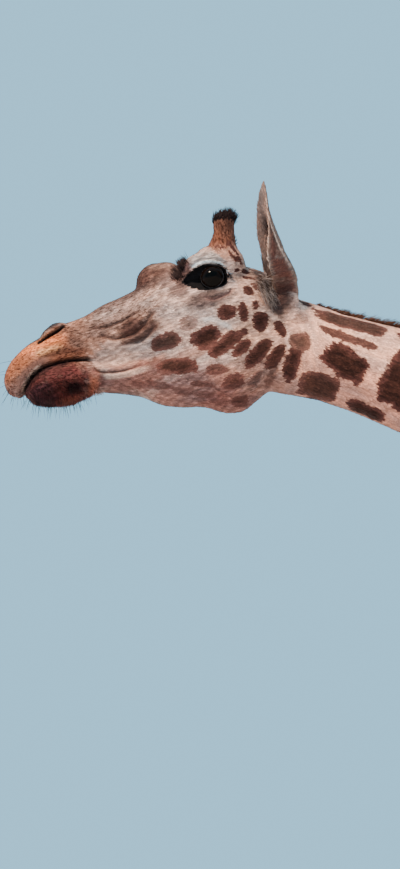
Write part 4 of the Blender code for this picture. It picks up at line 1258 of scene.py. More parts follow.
def nearest_centres(points, centres, count):
    """Indices of the nearest centres to each point, and their distances."""
    index = np.empty((len(points), count), int)
    away = np.empty((len(points), count))
    for start in range(0, len(points), 8000):
        some = points[start : start + 8000]
        distance = np.sqrt(((some[:, None] - centres[None]) ** 2).sum(axis=2))
        order = np.argpartition(distance, count, axis=1)[:, :count]
        found = np.take_along_axis(distance, order, axis=1)
        rank = np.argsort(found, axis=1)
        index[start : start + 8000] = np.take_along_axis(order, rank, axis=1)
        away[start : start + 8000] = np.take_along_axis(found, rank, axis=1)
    return index, away


def cell_spacing(points, place):
    """Distance between patches: wider down the neck and on the trunk, closer down the legs."""
    spacing = np.interp(place.s, *np.array(CELLS).T)
    spacing += place.trunk * (TRUNK_CELL - spacing)
    spacing += place.trunk * fade(1.60, 1.95, points[:, 2]) * (LEG_CELL - spacing)
    return spacing + place.trunk * fade(0.9, 1.5, points[:, 2]) * (SHANK_CELL - spacing)


def half_line(points, place):
    """Half the pale line between patches: wider under the belly, inside the legs and down the shanks."""
    aside, z = np.abs(points[:, 1]), points[:, 2]
    made = PALE_LINE + 0.006 * place.trunk + 0.004 * wobble(points, 0.5, 61)
    plain_from = np.where(place.local[:, 0] < 0.9, *PLAIN_SHANK)
    made = made + 0.09 * place.trunk * fade(plain_from - 0.22, plain_from + 0.30, z)
    belly = place.trunk * fade(1.80, 2.00, z) * (aside < 0.16)
    inner = place.trunk * fade(0.10, 0.16, aside) * (z < 1.9)
    return made + 0.035 * np.maximum(belly, inner)


def cell_distance(points, place, areas):
    """Distance inside the polygon patches of neck, trunk and legs."""
    spacing = cell_spacing(points, place)
    body = place.s > SPOTS_END - 0.06
    weight = np.where(body, areas / np.maximum(spacing, 0.05) ** 2, 0)
    centres = cell_seeds(points[body], weight[body], spacing[body], 41)
    moved = points[body]
    for size, seed, strength in CELL_BENDS:
        bend = np.stack([wobble(points, size, seed + axis) for axis in range(3)], axis=1)
        moved = moved + strength * bend[body]
    index, away = nearest_centres(moved, centres, 6)
    first, others = centres[index[:, 0]], centres[index[:, 1:]]
    gaps = (away[:, 1:] ** 2 - away[:, :1] ** 2) / (2 * np.linalg.norm(others - first[:, None], axis=2))
    made = np.full(len(points), -1.0)
    made[body] = -CELL_SOFT * np.log(np.exp(-gaps / CELL_SOFT).sum(axis=1))
    tail = smoothstep(1.80, 1.84, place.local[:, 0])
    return made - half_line(points, place) - 0.02 * tail


# Ground colours on the head, some of them painted shade, laid one over another: centre, reach, colour,
# strength. Head frame.
TINTS = (
    ((0.66, 0.00, 0.06), (0.12, 0.20, 0.10), (0.44, 0.25, 0.19), 0.9),  # cheek behind the eye
    ((0.30, 0.00, 0.13), (0.24, 0.080, 0.062), (0.150, 0.078, 0.062), 0.9),  # bridge of the nose
    ((0.310, 0.06, 0.040), (0.100, 0.09, 0.045), (0.21, 0.120, 0.098), 0.85),  # side of the nose
    ((0.338, 0.07, 0.006), (0.062, 0.08, 0.022), (0.050, 0.024, 0.021), 0.9),  # painted shade under the facial crest
    ((0.255, 0.05, -0.020), (0.055, 0.10, 0.030), (0.28, 0.180, 0.155), 0.7),  # in front of the crest
    ((0.389, 0.07, 0.078), (0.060, 0.09, 0.035), (0.27, 0.180, 0.155), 0.6),  # in front of the eye
    ((0.430, 0.07, -0.078), (0.060, 0.10, 0.022), (0.20, 0.115, 0.100), 0.8),  # cheek's lower edge: brown, with painted shade
    ((0.30, 0.05, -0.085), (0.130, 0.12, 0.045), (0.120, 0.046, 0.040), 0.9),  # under the mouth's corner
    ((0.42, 0.05, -0.160), (0.180, 0.12, 0.060), (0.175, 0.076, 0.066), 0.9),  # under the jaw: darker, partly its own colour and partly painted shade
    ((0.53, 0.00, -0.210), (0.150, 0.14, 0.070), (0.140, 0.055, 0.048), 0.9),  # throat: darker, partly its own colour and partly painted shade
    ((0.600, 0.07, -0.100), (0.110, 0.20, 0.110), (0.42, 0.240, 0.180), 0.9),  # neck behind the jaw
    ((0.600, 0.07, -0.165), (0.110, 0.20, 0.060), (0.20, 0.100, 0.082), 0.85),  # angle of the jaw
    ((0.66, 0.07, -0.140), (0.060, 0.10, 0.085), (0.48, 0.24, 0.175), 0.8),  # first of the neck
    ((0.275, 0.05, -0.045), (0.060, 0.10, 0.022), (0.46, 0.30, 0.25), 0.85),  # above the mouth's corner
    ((0.100, 0.00, 0.030), (0.150, 0.25, 0.085), (0.40, 0.150, 0.082), 1.0),  # muzzle
    ((0.150, 0.00, 0.015), (0.070, 0.25, 0.040), (0.21, 0.080, 0.050), 0.7),  # upper lip
    ((0.215, 0.05, 0.045), (0.065, 0.06, 0.045), (0.150, 0.082, 0.066), 0.9),  # behind the nostril
    ((-0.01, 0.00, -0.010), (0.040, 0.25, 0.065), (0.22, 0.075, 0.050), 0.8),  # tip of the nose
    ((0.116, 0.00, -0.055), (0.125, 0.25, 0.062), (0.088, 0.022, 0.020), 1.0),  # chin
    ((0.079, 0.00, -0.066), (0.036, 0.25, 0.028), (0.050, 0.017, 0.021), 0.9),  # middle of the chin
    ((0.400, 0.00, 0.150), (0.085, 0.078, 0.062), (0.062, 0.030, 0.026), 0.95),  # forehead's bump
    ((0.430, 0.04, 0.170), (0.035, 0.08, 0.022), (0.170, 0.105, 0.088), 0.7),  # top of the bump
    ((0.505, 0.11, 0.030), (0.068, 0.06, 0.026), (0.060, 0.038, 0.037), 0.9),  # painted shade under the eye
    ((0.319, 0.07, 0.028), (0.036, 0.08, 0.020), (0.036, 0.017, 0.016), 0.9),  # painted shade in the crease beside the nose
    ((0.436, 0.054, 0.118), (0.030, 0.05, 0.032), (0.125, 0.075, 0.067), 0.8),  # behind the bump
    ((0.525, 0.11, 0.118), (0.062, 0.06, 0.026), (0.27, 0.225, 0.215), 0.9),  # brow
    ((0.466, 0.09, 0.118), (0.030, 0.07, 0.034), (0.075, 0.034, 0.033), 0.95),  # brow tuft's skin
    ((0.450, 0.08, 0.074), (0.028, 0.08, 0.028), (0.100, 0.056, 0.050), 0.85),  # painted shade in the front corner of the eye
    ((0.648, 0.09, 0.045), (0.022, 0.06, 0.050), (0.11, 0.065, 0.056), 0.9),  # front of the ear's root
    ((0.655, 0.09, -0.020), (0.016, 0.06, 0.050), (0.10, 0.055, 0.048), 0.8),  # under the ear's root
)
PALE = (0.43, 0.285, 0.245)  # under all of them
NECK_TINTS = ((0.70, 0.37, 0.275), (0.42, 0.185, 0.138))  # along the top, along the throat
TRUNK_TINTS = ((0.43, 0.245, 0.170), (0.48, 0.33, 0.26))  # back, belly
STOCKING = (0.47, 0.36, 0.29)
SHANK_MARK = (0.20, 0.090, 0.055)
MARKS = {"head": (0.056, 0.021, 0.018), "neck": (0.046, 0.016, 0.014), "body": (0.088, 0.030, 0.019)}


def lid_gap(h):
    """How far inside the eye's opening each head-frame point is, seen from the side."""
    u, v = lid_plane(h)
    turn = np.linspace(0, math.pi, 60)[::-1]
    top_u, top_v = opening(turn)
    low_u, low_v = opening(-turn)
    ends = np.minimum(u - top_u[0], top_u[-1] - u)
    inside = np.minimum(np.interp(u, top_u, top_v) - v, v - np.interp(u, low_u, low_v))
    return np.where(h[:, 1] > OFF_MIDDLE, np.minimum(inside, ends), -1)


def mix(colour, other, share):
    """Colours by vertex, moved towards another colour by a share for each."""
    return colour + np.asarray(share)[:, None] * (np.asarray(other) - colour)


def near_path(h, name, width, start=0.0, end=0.0):
    """1 on a path, falling to 0 at this width from it, and over these shares of it at its ends."""
    made = np.zeros(len(h))
    some = near_box(h, PATHS[name], width / SIDE_VIEW)
    away, along = path_distance(h[some], PATHS[name])
    made[some] = fade(0.25 * width, width, away)
    if start:
        made[some] *= smoothstep(0, start, along)
    if end:
        made[some] *= smoothstep(0, end, 1 - along)
    return made


# Lines of colour on the head, with painted shade and a painted highlight among them, laid one over another:
# path, width, colour, strength.
LINES = (
    ("nose_strip", 0.02, (0.045, 0.033, 0.035), 0.97),
    ("lip_orange", 0.022, (0.620, 0.185, 0.070), 0.9),
    # painted highlight along the upper lip
    ("lip_light", 0.013, (0.580, 0.290, 0.150), 0.7),
    ("nose_front", 0.022, (0.260, 0.090, 0.045), 0.9),
    ("lip_shade", 0.011, (0.120, 0.045, 0.030), 0.85),
    ("lip_edge", 0.014, (0.270, 0.125, 0.095), 0.95),
    ("lip_rim", 0.006, (0.660, 0.400, 0.310), 0.8),
    ("corner_shade", 0.014, (0.200, 0.085, 0.070), 0.7),
    ("corner_light", 0.01, (0.500, 0.330, 0.270), 0.8),
    # painted shade in the crease behind the mouth
    ("mouth_tail", 0.0055, (0.035, 0.012, 0.010), 0.95),
    ("chin_edge", 0.018, (0.420, 0.130, 0.075), 0.85),
    ("chin_dark", 0.016, (0.014, 0.005, 0.006), 0.95),
    ("chin_plum", 0.01, (0.160, 0.045, 0.038), 0.7),
    ("mouth_shade", 0.013, (0.035, 0.011, 0.011), 0.92),
    # painted shade in the mouth's crease
    ("mouth", 0.0085, (0.008, 0.003, 0.003), 1.0),
    ("nostril_rim", 0.005, (0.240, 0.140, 0.105), 0.8),
    # painted shade inside the nostril's slit
    ("nostril", 0.0085, (0.014, 0.007, 0.006), 1.0),
    # painted shade in the crease under the eye
    ("eye_bag", 0.0075, (0.130, 0.066, 0.060), 0.75),
    ("cheek_ridge", 0.009, (0.620, 0.500, 0.460), 0.75),
    ("jaw_strap", 0.011, (0.720, 0.460, 0.370), 0.8),
)
LINE_ENDS = {"mouth": (0.0, 0.12), "nostril": (0.0, 0.0), "mouth_tail": (0.1, 0.5)}  # shares that fade out
PLAIN_ENDS = (0.22, 0.22)
# creases along which shade is painted
PAINTED_SHADE_CREASES = {"face_crease", "nose_crease", "low_crease"}


def tiled(colour, place):
    """One colour for every point."""
    return np.tile(colour, (len(place.points), 1))


def head_colours(place, blur):
    """The head's ground: soft tints, then fine unevenness, then lines, painted shade in the creases, and the
    lids with a painted highlight.
    """
    h = place.h
    head = tiled(PALE, place)
    for centre, reach, colour, strength in TINTS:
        away = np.linalg.norm((h - centre) / reach, axis=1) + blur
        head = mix(head, colour, strength * fade(0.55, 1.15, away))
    head *= np.exp(0.34 * np.tanh(2 * wobble(h * [0.30, 1, 1.3], 0.010, 77)))[:, None]
    for name, width, colour, strength in LINES:
        head = mix(head, colour, strength * near_path(h, name, width, *LINE_ENDS.get(name, PLAIN_ENDS)))
    # painted shade along these creases
    for name, width, _, _ in GROOVES:
        if name in PAINTED_SHADE_CREASES:
            head = mix(head, (0.060, 0.028, 0.023), 0.8 * near_path(h, name, 1.7 * width))
    gap = lid_gap(h)
    u, v = lid_plane(h)
    # painted highlight along the upper lid
    lid_painted_highlight = fade(0.0012, 0.0040, np.abs(gap + 0.0085)) * (v > 0.008) * (u > -0.028)
    head = mix(head, (0.50, 0.55, 0.58), 0.85 * lid_painted_highlight)
    # painted shade in the front corner of the eye
    front_corner_shade = fade(0.006, 0.022, np.abs(gap + 0.004)) * (u < -0.035) * (v > -0.012)
    head = mix(head, (0.070, 0.040, 0.036), 0.75 * front_corner_shade)
    return mix(head, (0.006, 0.005, 0.006), smoothstep(-0.0052, -0.0020, gap))


def horn_colours(place, blur):
    """Brown ossicones, darker upwards, with black tops."""
    height = place.horn + 0.3 * blur
    horn = mix(tiled((0.38, 0.20, 0.15), place), (0.125, 0.047, 0.030), smoothstep(0.22, 0.5, height))
    return mix(horn, (0.024, 0.016, 0.014), smoothstep(0.86, 0.97, height + 1.5 * (place.h[:, 0] - 0.600)))


# The pale fold that runs up the back of the ear into its rim: shares of the ear's length, places across.
EAR_FOLD = ((0.10, 0.18, 0.30, 0.48, 0.62), (0.24, 0.36, 0.48, 0.77, 0.97))


EAR_TINTS = {
    "back": (0.120, 0.078, 0.068),
    "ridge": (0.20, 0.135, 0.115),
    "panel": (0.085, 0.033, 0.027),
    "furrow": (0.045, 0.026, 0.023),
    "pale": (0.50, 0.36, 0.31),
    "inside": (0.170, 0.112, 0.098),
    # dark hair and painted shade deep in the ear's hollow
    "pit_hair_and_shade": (0.014, 0.007, 0.007),
    "edge": (0.070, 0.045, 0.040),
}


def ear_colours(place):
    """Brown ears with a hollow that is dark deep inside from dark hair and painted shade, a darker panel
    behind the fold, and a pale fold and rim.
    """
    t, arc, p = place.ear_t, place.ear_arc, place.points
    ridge = 0.5 + 0.5 * np.tanh(3 * wobble(p * [1, 1, 0.25], 0.012, 72))
    inside = (place.ear_reach < 0.76 + 0.16 * smoothstep(0.2, 0.4, t)) & (np.abs(arc) < 1)
    fold = np.interp(t, *EAR_FOLD)
    ear = mix(tiled(EAR_TINTS["back"], place), EAR_TINTS["ridge"], 0.6 * ridge)
    panel = smoothstep(fold + 0.04, fold + 0.16, arc) * fade(0.80, 0.94, arc) * (t < 0.62)
    ear = mix(ear, EAR_TINTS["panel"], 0.95 * panel * smoothstep(-1.2, 0.0, wobble(p, 0.05, 76)))
    furrow = fade(0.03, 0.09, np.abs(arc - fold - 0.08)) * smoothstep(0.26, 0.36, t) * (t < 0.7)
    ear = mix(ear, EAR_TINTS["furrow"], 0.8 * furrow)
    fold_line = fade(0.015, 0.05, np.abs(arc - fold)) * smoothstep(0.16, 0.26, t) * (t < 0.7)
    ear = mix(ear, EAR_TINTS["pale"], 0.9 * fold_line)
    ear = mix(ear, EAR_TINTS["inside"], inside)
    # dark hair and painted shade deep in the hollow
    pit_hair_and_shade = inside * nearness(np.stack([t, arc], axis=1), (0.55, -0.15), (0.17, 0.50)) ** 0.7
    ear = mix(ear, EAR_TINTS["pit_hair_and_shade"], 0.97 * pit_hair_and_shade)
    ear = mix(ear, EAR_TINTS["pale"], 0.9 * fade(0.010, 0.045, np.abs(arc - 0.97)))
    return mix(ear, EAR_TINTS["edge"], 0.85 * fade(0.02, 0.10, np.abs(arc + 0.97)))


def neck_and_trunk_colours(place):
    """The grounds of the neck and of the trunk with its legs."""
    p, s = place.points, place.s
    half_depth = sample(NECK, np.clip(s, -0.1, 2.45))[0]
    low = smoothstep(-0.25, 0.75, -place.height / half_depth + 0.15 * wobble(p, 0.15, 73))
    neck = mix(tiled(NECK_TINTS[0], place), NECK_TINTS[1], 0.9 * low * fade(0.5, 1.4, s))
    trunk = mix(tiled(TRUNK_TINTS[0], place), TRUNK_TINTS[1], fade(1.80, 2.10, p[:, 2]))
    return neck, mix(trunk, STOCKING, fade(0.95, 1.50, p[:, 2]))


def ground_colours(place):
    """The coat's ground colour at each point of the skin."""
    h, p = place.h, place.points
    blur = 0.10 * wobble(p, 0.035, 71)
    head = mix(head_colours(place, blur), horn_colours(place, blur), smoothstep(0.02, 0.12, place.horn))
    foot = smoothstep(-0.045, -0.015, h[:, 2]) * smoothstep(0.652, 0.664, h[:, 0])
    foot = foot * (place.ear_reach < 1.25) * (h[:, 1] > 0.055) * (h[:, 2] < 0.07)
    head = mix(head, ear_colours(place), np.maximum(place.ear, foot))
    head = mix(head, (0.038, 0.022, 0.020), 0.95 * near_path(h, "ear_front", 0.034))
    under_ear = nearness(h, (0.682, 0.09, -0.008), (0.026, 0.08, 0.048)) ** 0.4
    head = mix(head, (0.034, 0.014, 0.012), 0.97 * under_ear)
    neck, trunk = neck_and_trunk_colours(place)
    made = mix(neck, head, fade(-0.02, 0.09, place.s + 0.02 * wobble(p, 0.05, 74)))
    made = mix(made, trunk, place.trunk)
    above_hoof = fade(0.14, 0.19, p[:, 2] + 0.012 * wobble(p, 0.03, 75))
    return mix(made, (0.13, 0.085, 0.065), 0.7 * above_hoof)


def bare_share(place):
    """1 where the skin is wet and hairless: round the eye, in the nostril and along the lips."""
    gap = smoothstep(-0.0048, -0.0020, lid_gap(place.h))
    nostril = near_path(place.h, "nostril", 0.006)
    return np.clip(gap + nostril + 0.6 * near_path(place.h, "mouth", 0.007), 0, 1)


def speckle(place):
    """How strongly dark hairs speckle the ground: most on the muzzle and the bridge of the nose."""
    h = place.h
    muzzle = fade(0.17, 0.24, h[:, 0])
    bridge = fade(0.36, 0.46, h[:, 0]) * smoothstep(0.00, 0.05, h[:, 2])
    horn = smoothstep(0.2, 0.4, place.horn)
    made = 0.25 + 0.60 * np.maximum(np.maximum(muzzle, bridge), horn)
    lip = near_path(h, "lip_edge", 0.012)
    return made * (1 - 0.8 * lip) * (1 - place.ear)


def vertex_areas(obj):
    """The mesh's triangles, their areas, and each vertex's share of area."""
    mesh = obj.data
    mesh.calc_loop_triangles()
    corners = np.empty(len(mesh.loop_triangles) * 3, np.int32)
    mesh.loop_triangles.foreach_get("vertices", corners)
    corners = corners.reshape(-1, 3)
    a, b, c = (points_of(obj)[corners[:, i]] for i in range(3))
    area = np.linalg.norm(np.cross(b - a, c - a), axis=1) / 2
    share = sum(np.bincount(corners[:, i], area, len(mesh.vertices)) for i in range(3)) / 3
    return corners, area, share


def skin_fields(skin):
    """Everything that the skin's own material and the hair on it read, as arrays by vertex."""
    points, normals = points_of(skin), normals_of(skin)
    place = Place(points)
    place.bare = bare_share(place)
    corners, area, share = vertex_areas(skin)
    tree = BVHTree.FromPolygons(points.tolist(), corners.tolist())

    # Patches: those measured in the photo, and cells further back that keep clear of them.
    spots, strength = spot_distance(tree, points)
    cells = cell_distance(points, place, share)
    cells = cells - 0.12 * fade(SPOTS_END - 0.03, SPOTS_END + 0.03, place.s)
    cells = np.minimum(cells, -spots - 0.026)
    patch = np.maximum(spots, cells)
    strength = np.where(cells > spots, 1.0, strength)
    strength = strength * fade(0.1, 0.5, place.ear) * fade(0.40, 0.55, place.horn)

    # Their colour: darker on the neck than on the head, brown on the body, paler down the shanks.
    body = np.maximum(smoothstep(0.5, 1.5, place.s), place.trunk)
    mark = mix(tiled(MARKS["head"], place), MARKS["neck"], smoothstep(0.0, 0.10, place.s))
    darker_back = np.interp(place.h[:, 0], (0.42, 0.50, 0.60), (1.10, 1.00, 0.62))
    mark *= np.where(place.s < 0.02, darker_back, 1)[:, None]
    mark = mix(mark, MARKS["body"], body)
    mark = mix(mark, SHANK_MARK, 0.8 * place.trunk * fade(1.0, 1.7, points[:, 2]))

    fields = {
        "seat": points,
        "normal": normals,
        "lie": place.lie(normals),
        "fur": place.fur(),
        "ground": ground_colours(place),
        "mark": mark,
        "patch": patch,
        "tone": strength,
        "bare": place.bare,
        "speck": speckle(place),
        "s": place.s,
    }
    return (fields, corners, area), place


SHADER_FIELDS = {"fur": "FLOAT_VECTOR", "ground": "FLOAT_COLOR", "mark": "FLOAT_COLOR"}
SHADER_FIELDS.update(dict.fromkeys(("patch", "tone", "bare", "speck", "own", "tip"), "FLOAT"))


def write_fields(obj, fields, kinds=SHADER_FIELDS):
    """Stores the fields that materials read as attributes of the mesh."""
    for name, kind in kinds.items():
        if name not in fields:
            continue
        values = np.asarray(fields[name], np.float32)
        if kind == "FLOAT_COLOR":
            values = np.concatenate([values, np.ones((len(values), 1), np.float32)], axis=1)
        attribute = obj.data.attributes.new(name, kind, "POINT")
        key = {"FLOAT": "value", "FLOAT_VECTOR": "vector", "FLOAT_COLOR": "color"}[kind]
        attribute.data.foreach_set(key, values.ravel())


# ---------------------------------------------------------------- materials
def add_node(tree, kind, settings=(), **inputs):
    """A shader node with its settings, and its inputs set or linked by name, or as i0, i1 and so on."""
    node = tree.nodes.new(kind)
    for key, value in dict(settings).items():
        setattr(node, key, value)
    for key, value in inputs.items():
        numbered = key[0] == "i" and key[1:].isdigit()
        socket = node.inputs[int(key[1:]) if numbered else key.replace("_", " ")]
        if isinstance(value, bpy.types.NodeSocket):
            tree.links.new(value, socket)
        else:
            socket.default_value = value
    return node


def math_node(tree, operation, *values):
    """The result of a maths node over values or sockets."""
    inputs = {f"i{i}": value for i, value in enumerate(values)}
    return add_node(tree, "ShaderNodeMath", {"operation": operation}, **inputs).outputs[0]


def weighted(tree, *terms):
    """The sum of sockets, each times its share."""
    total = None
    for value, share in terms:
        part = math_node(tree, "MULTIPLY", value, share)
        total = part if total is None else math_node(tree, "ADD", total, part)
    return total


def ramp_node(tree, value, low, high, to_low=0.0, to_high=1.0):
    """A value brought smoothly from one range into another."""
    settings = {"interpolation_type": "SMOOTHSTEP"}
    inputs = {"i0": value, "i1": low, "i2": high, "i3": to_low, "i4": to_high}
    return add_node(tree, "ShaderNodeMapRange", settings, **inputs).outputs[0]


def mix_node(tree, share, first, second, blend="MIX"):
    """Two colours or sockets mixed by a share."""
    node = tree.nodes.new("ShaderNodeMix")
    node.data_type, node.blend_type = "RGBA", blend
    for socket, value in ((node.inputs[0], share), (node.inputs[6], first), (node.inputs[7], second)):
        if isinstance(value, bpy.types.NodeSocket):
            tree.links.new(value, socket)
        elif isinstance(value, tuple):
            socket.default_value = (*value, 1)
        else:
            socket.default_value = value
    return node.outputs[2]


def attribute_node(tree, name, output="Fac"):
    """A field stored on the mesh."""
    return add_node(tree, "ShaderNodeAttribute", {"attribute_name": name}).outputs[output]


def noise_node(tree, vector, scales, detail=2.0):
    """Noise over coordinates stretched by three scales, 0 to 1."""
    stretched = add_node(tree, "ShaderNodeVectorMath", {"operation": "MULTIPLY"}, i0=vector, i1=scales)
    noise = add_node(tree, "ShaderNodeTexNoise", Vector=stretched.outputs[0], Scale=1.0, Detail=detail)
    return noise.outputs[0]


def new_material(name):
    """A material with its node tree and its main shader."""
    made = bpy.data.materials.new(name)
    made.use_nodes = True
    return made, made.node_tree, made.node_tree.nodes["Principled BSDF"]


COAT_NOISE = {  # features per metre along the hair's lie and in the two directions across it, then detail
    "fine": ((110.0, 520.0, 520.0), 3.0),
    "grain": ((85.0, 250.0, 250.0), 2.0),
    "streak": ((26.0, 150.0, 150.0), 2.0),
    "broad": ((9.0, 22.0, 22.0), 3.0),
    "mottle": ((48.0, 95.0, 95.0), 3.0),
    "dots": ((130.0, 360.0, 360.0), 2.0),
}


def coat_material(name, on_hair):
    """The marked coat: patches on a ground, streaked along the lie of the hair."""
    made, tree, shader = new_material(name)
    fur = attribute_node(tree, "fur", "Vector")
    patch, tone = attribute_node(tree, "patch"), attribute_node(tree, "tone")
    bare = attribute_node(tree, "bare")
    noise = {key: noise_node(tree, fur, *row) for key, row in COAT_NOISE.items()}
    fine, streak, broad = noise["fine"], noise["streak"], noise["broad"]
    grain = ramp_node(tree, noise["grain"], 0.30, 0.70, 0.82, 1.20)

    # Patches: a ragged edge, darkest along it and paler in the middle.
    ragged = math_node(tree, "MULTIPLY_ADD", math_node(tree, "SUBTRACT", streak, 0.5), 0.0030, patch)
    ragged = math_node(tree, "MULTIPLY_ADD", math_node(tree, "SUBTRACT", fine, 0.5), 0.0026, ragged)
    share = math_node(tree, "MULTIPLY", ramp_node(tree, ragged, -0.0012, 0.0014), tone)
    depth = ramp_node(tree, patch, 0.000, 0.022, 1.45, 0.28)
    mark = mix_node(tree, 1.0, attribute_node(tree, "mark", "Color"), depth, "MULTIPLY")
    mark = mix_node(tree, math_node(tree, "MULTIPLY", streak, 0.16), mark, (0.17, 0.060, 0.038))

    # The ground: mottled with brown, speckled with dark hairs, warmer and cooler by turns.
    ground = attribute_node(tree, "ground", "Color")
    uneven = weighted(tree, (broad, 0.5), (streak, 0.7), (fine, 0.5))
    uneven = ramp_node(tree, uneven, 0.45, 1.25, 0.60, 1.42)
    mottle = ramp_node(tree, noise["mottle"], 0.54, 0.74, 0.0, 0.40)
    mottle = math_node(tree, "MULTIPLY", mottle, math_node(tree, "SUBTRACT", 1.0, bare))
    ground = mix_node(tree, mottle, ground, (0.150, 0.070, 0.055))
    dots = ramp_node(tree, noise["dots"], 0.47, 0.62)
    dots = math_node(tree, "MULTIPLY", dots, attribute_node(tree, "speck"))
    ground = mix_node(tree, dots, ground, mix_node(tree, 1.0, ground, (0.20, 0.15, 0.14), "MULTIPLY"))
    warm = mix_node(tree, ramp_node(tree, broad, 0.35, 0.65), (0.90, 0.97, 1.02), (1.12, 1.02, 0.94))
    ground = mix_node(tree, 1.0, ground, warm, "MULTIPLY")

    colour = mix_node(tree, share, ground, mark)
    colour = mix_node(tree, 1.0, colour, uneven, "MULTIPLY")
    colour = mix_node(tree, 1.0, colour, grain, "MULTIPLY")
    if on_hair:
        own, tip = attribute_node(tree, "own"), attribute_node(tree, "tip")
        light = math_node(tree, "ADD", weighted(tree, (own, 0.50), (tip, 0.26)), 0.84)
        colour = mix_node(tree, 1.0, colour, light, "MULTIPLY")
    tree.links.new(colour, shader.inputs["Base Color"])
    dull = math_node(tree, "MULTIPLY_ADD", fine, 0.24, 0.50)
    rough = math_node(tree, "MULTIPLY_ADD", bare, 0.20, dull)
    tree.links.new(rough, shader.inputs["Roughness"])
    shader.inputs["Specular IOR Level"].default_value = 0.05
    shader.inputs["Sheen Weight"].default_value = 0.02
    shader.inputs["Sheen Roughness"].default_value = 0.45
    if not on_hair:
        height = weighted(tree, (fine, 0.55), (streak, 0.65))
        bump = add_node(tree, "ShaderNodeBump", Strength=0.55, Distance=0.0030, Height=height)
        tree.links.new(bump.outputs[0], shader.inputs["Normal"])
    return made


def hair_material(name, root, tip, gloss, other=None):
    """Long hair: darker or paler from root to tip, each hair its own shade. Half may be another colour."""
    made, tree, shader = new_material(name)
    own, along = attribute_node(tree, "own"), attribute_node(tree, "tip")
    fleck = noise_node(tree, attribute_node(tree, "fur", "Vector"), (60.0, 90.0, 90.0))
    colour = mix_node(tree, along, root, tip)
    if other:
        colour = mix_node(tree, ramp_node(tree, own, 0.45, 0.55), colour, other)
    shade = math_node(tree, "ADD", weighted(tree, (own, 0.75), (fleck, 0.5)), 0.40)
    colour = mix_node(tree, 1.0, colour, shade, "MULTIPLY")
    tree.links.new(colour, shader.inputs["Base Color"])
    tree.links.new(math_node(tree, "MULTIPLY_ADD", own, 0.2, gloss), shader.inputs["Roughness"])
    shader.inputs["Specular IOR Level"].default_value = 0.08
    return made


# ---------------------------------------------------------------- hair
def pick_roots(fields, corners, area, weight, count, seed):
    """Roots scattered over the skin's triangles, with every field read where each one stands."""
    rng = np.random.default_rng(seed)
    chance = area * weight[corners].mean(axis=1)
    chosen = rng.choice(len(corners), count, p=chance / chance.sum())
    a, b = rng.random(count), rng.random(count)
    flip = a + b > 1
    a, b = np.where(flip, 1 - a, a), np.where(flip, 1 - b, b)
    share = np.stack([1 - a - b, a, b], axis=1)
    made = {}
    for name, values in fields.items():
        values = values[corners[chosen]]
        made[name] = np.einsum("ij,ij...->i...", share, values)
    made["normal"], made["lie"] = unit(made["normal"]), unit(made["lie"])
    made["own"] = rng.random(count)
    return made


def bake_patches(obj, places, sizes):
    """The OFBake map: each hair is a small patch at its root's place on the unwrapped skin."""
    layer = obj.data.uv_layers.new(name="OFBake")
    vertex = np.empty(len(obj.data.loops), np.int32)
    obj.data.loops.foreach_get("vertex_index", vertex)
    hair = vertex // sizes
    corner = vertex % sizes
    angle = corner * 2.4
    spread = 0.0015 * np.stack([np.cos(angle), np.sin(angle)], axis=1)
    layer.data.foreach_set("uv", (np.clip(places[hair], 0.002, 0.998) + spread).astype(np.float32).ravel())
    obj.data.uv_layers.active = layer


def turn_share(across, up):
    """How far round an axis each place lies, 0 to 1."""
    return np.arctan2(across, up) / (2 * math.pi) + 0.5


def unwrapped(roots, part):
    """Places on the skin's own unwrap: round the head, the neck, the trunk, or each leg in turn."""
    seat, s = roots["seat"], roots["s"]
    x = seat[:, 0] - SHOULDER_X
    if part == "head":
        h = world_to_head(seat)
        along, turn = h[:, 0] / 0.85, turn_share(h[:, 1], h[:, 2])
    elif part == "neck":
        centre, back = neck_line(np.clip(s, -0.1, NECK[-1][0]))
        along, turn = s / 2.3, turn_share(seat[:, 1], ((seat - centre) * upward(back)).sum(axis=1))
    elif part == "trunk":
        along, turn = (x + 0.45) / 2.4, turn_share(seat[:, 1], seat[:, 2] - 2.35)
    else:
        leg = np.where(x > 0.85, 2, 0) + (seat[:, 1] > 0)
        middle = np.where(x > 0.85, 1.53, 0.03)
        round_leg = turn_share(seat[:, 1] - np.sign(seat[:, 1]) * 0.2, x - middle)
        along, turn = seat[:, 2] / 2.0, (leg + round_leg) / 4
    return np.stack([np.clip(along, 0, 1), turn], axis=1)


def make_tufts(name, roots, length, width, material, places):
    """Short tufts that lie along the skin: thin closed kites, shaded mostly like the skin under them."""
    rng = np.random.default_rng(len(name) + len(length))
    count = len(length)
    across = np.cross(roots["normal"], roots["lie"])
    way = unit(roots["lie"] + rng.normal(0, 0.16, count)[:, None] * across)
    across = np.cross(roots["normal"], way)
    lift = (TUFT_RISE * (0.5 + 2.5 * rng.random(count) ** 4))[:, None]
    length, width = length[:, None], width[:, None]
    root = roots["seat"] - 0.0010 * roots["normal"]
    middle = roots["seat"] + way * length * 0.35 + roots["normal"] * (0.0002 + lift * length * 0.6)
    left, right = middle - across * width / 2, middle + across * width / 2
    tip = roots["seat"] + way * length + roots["normal"] * lift * length
    points = np.stack([root, left, right, tip], axis=1)
    faces = np.array([(0, 1, 2), (1, 3, 2), (0, 3, 1), (0, 2, 3)])
    obj = hair_mesh(name, points, faces, roots, np.array([0, 0.35, 0.35, 1.0]))
    facing = unit(roots["normal"] + rng.normal(0, 0.20, (count, 3)) - 0.10 * way)
    obj.data.normals_split_custom_set_from_vertices(np.repeat(facing, 4, axis=0).astype(np.float32))
    obj.data.materials.append(material)
    bake_patches(obj, places, points.shape[1])
    return obj


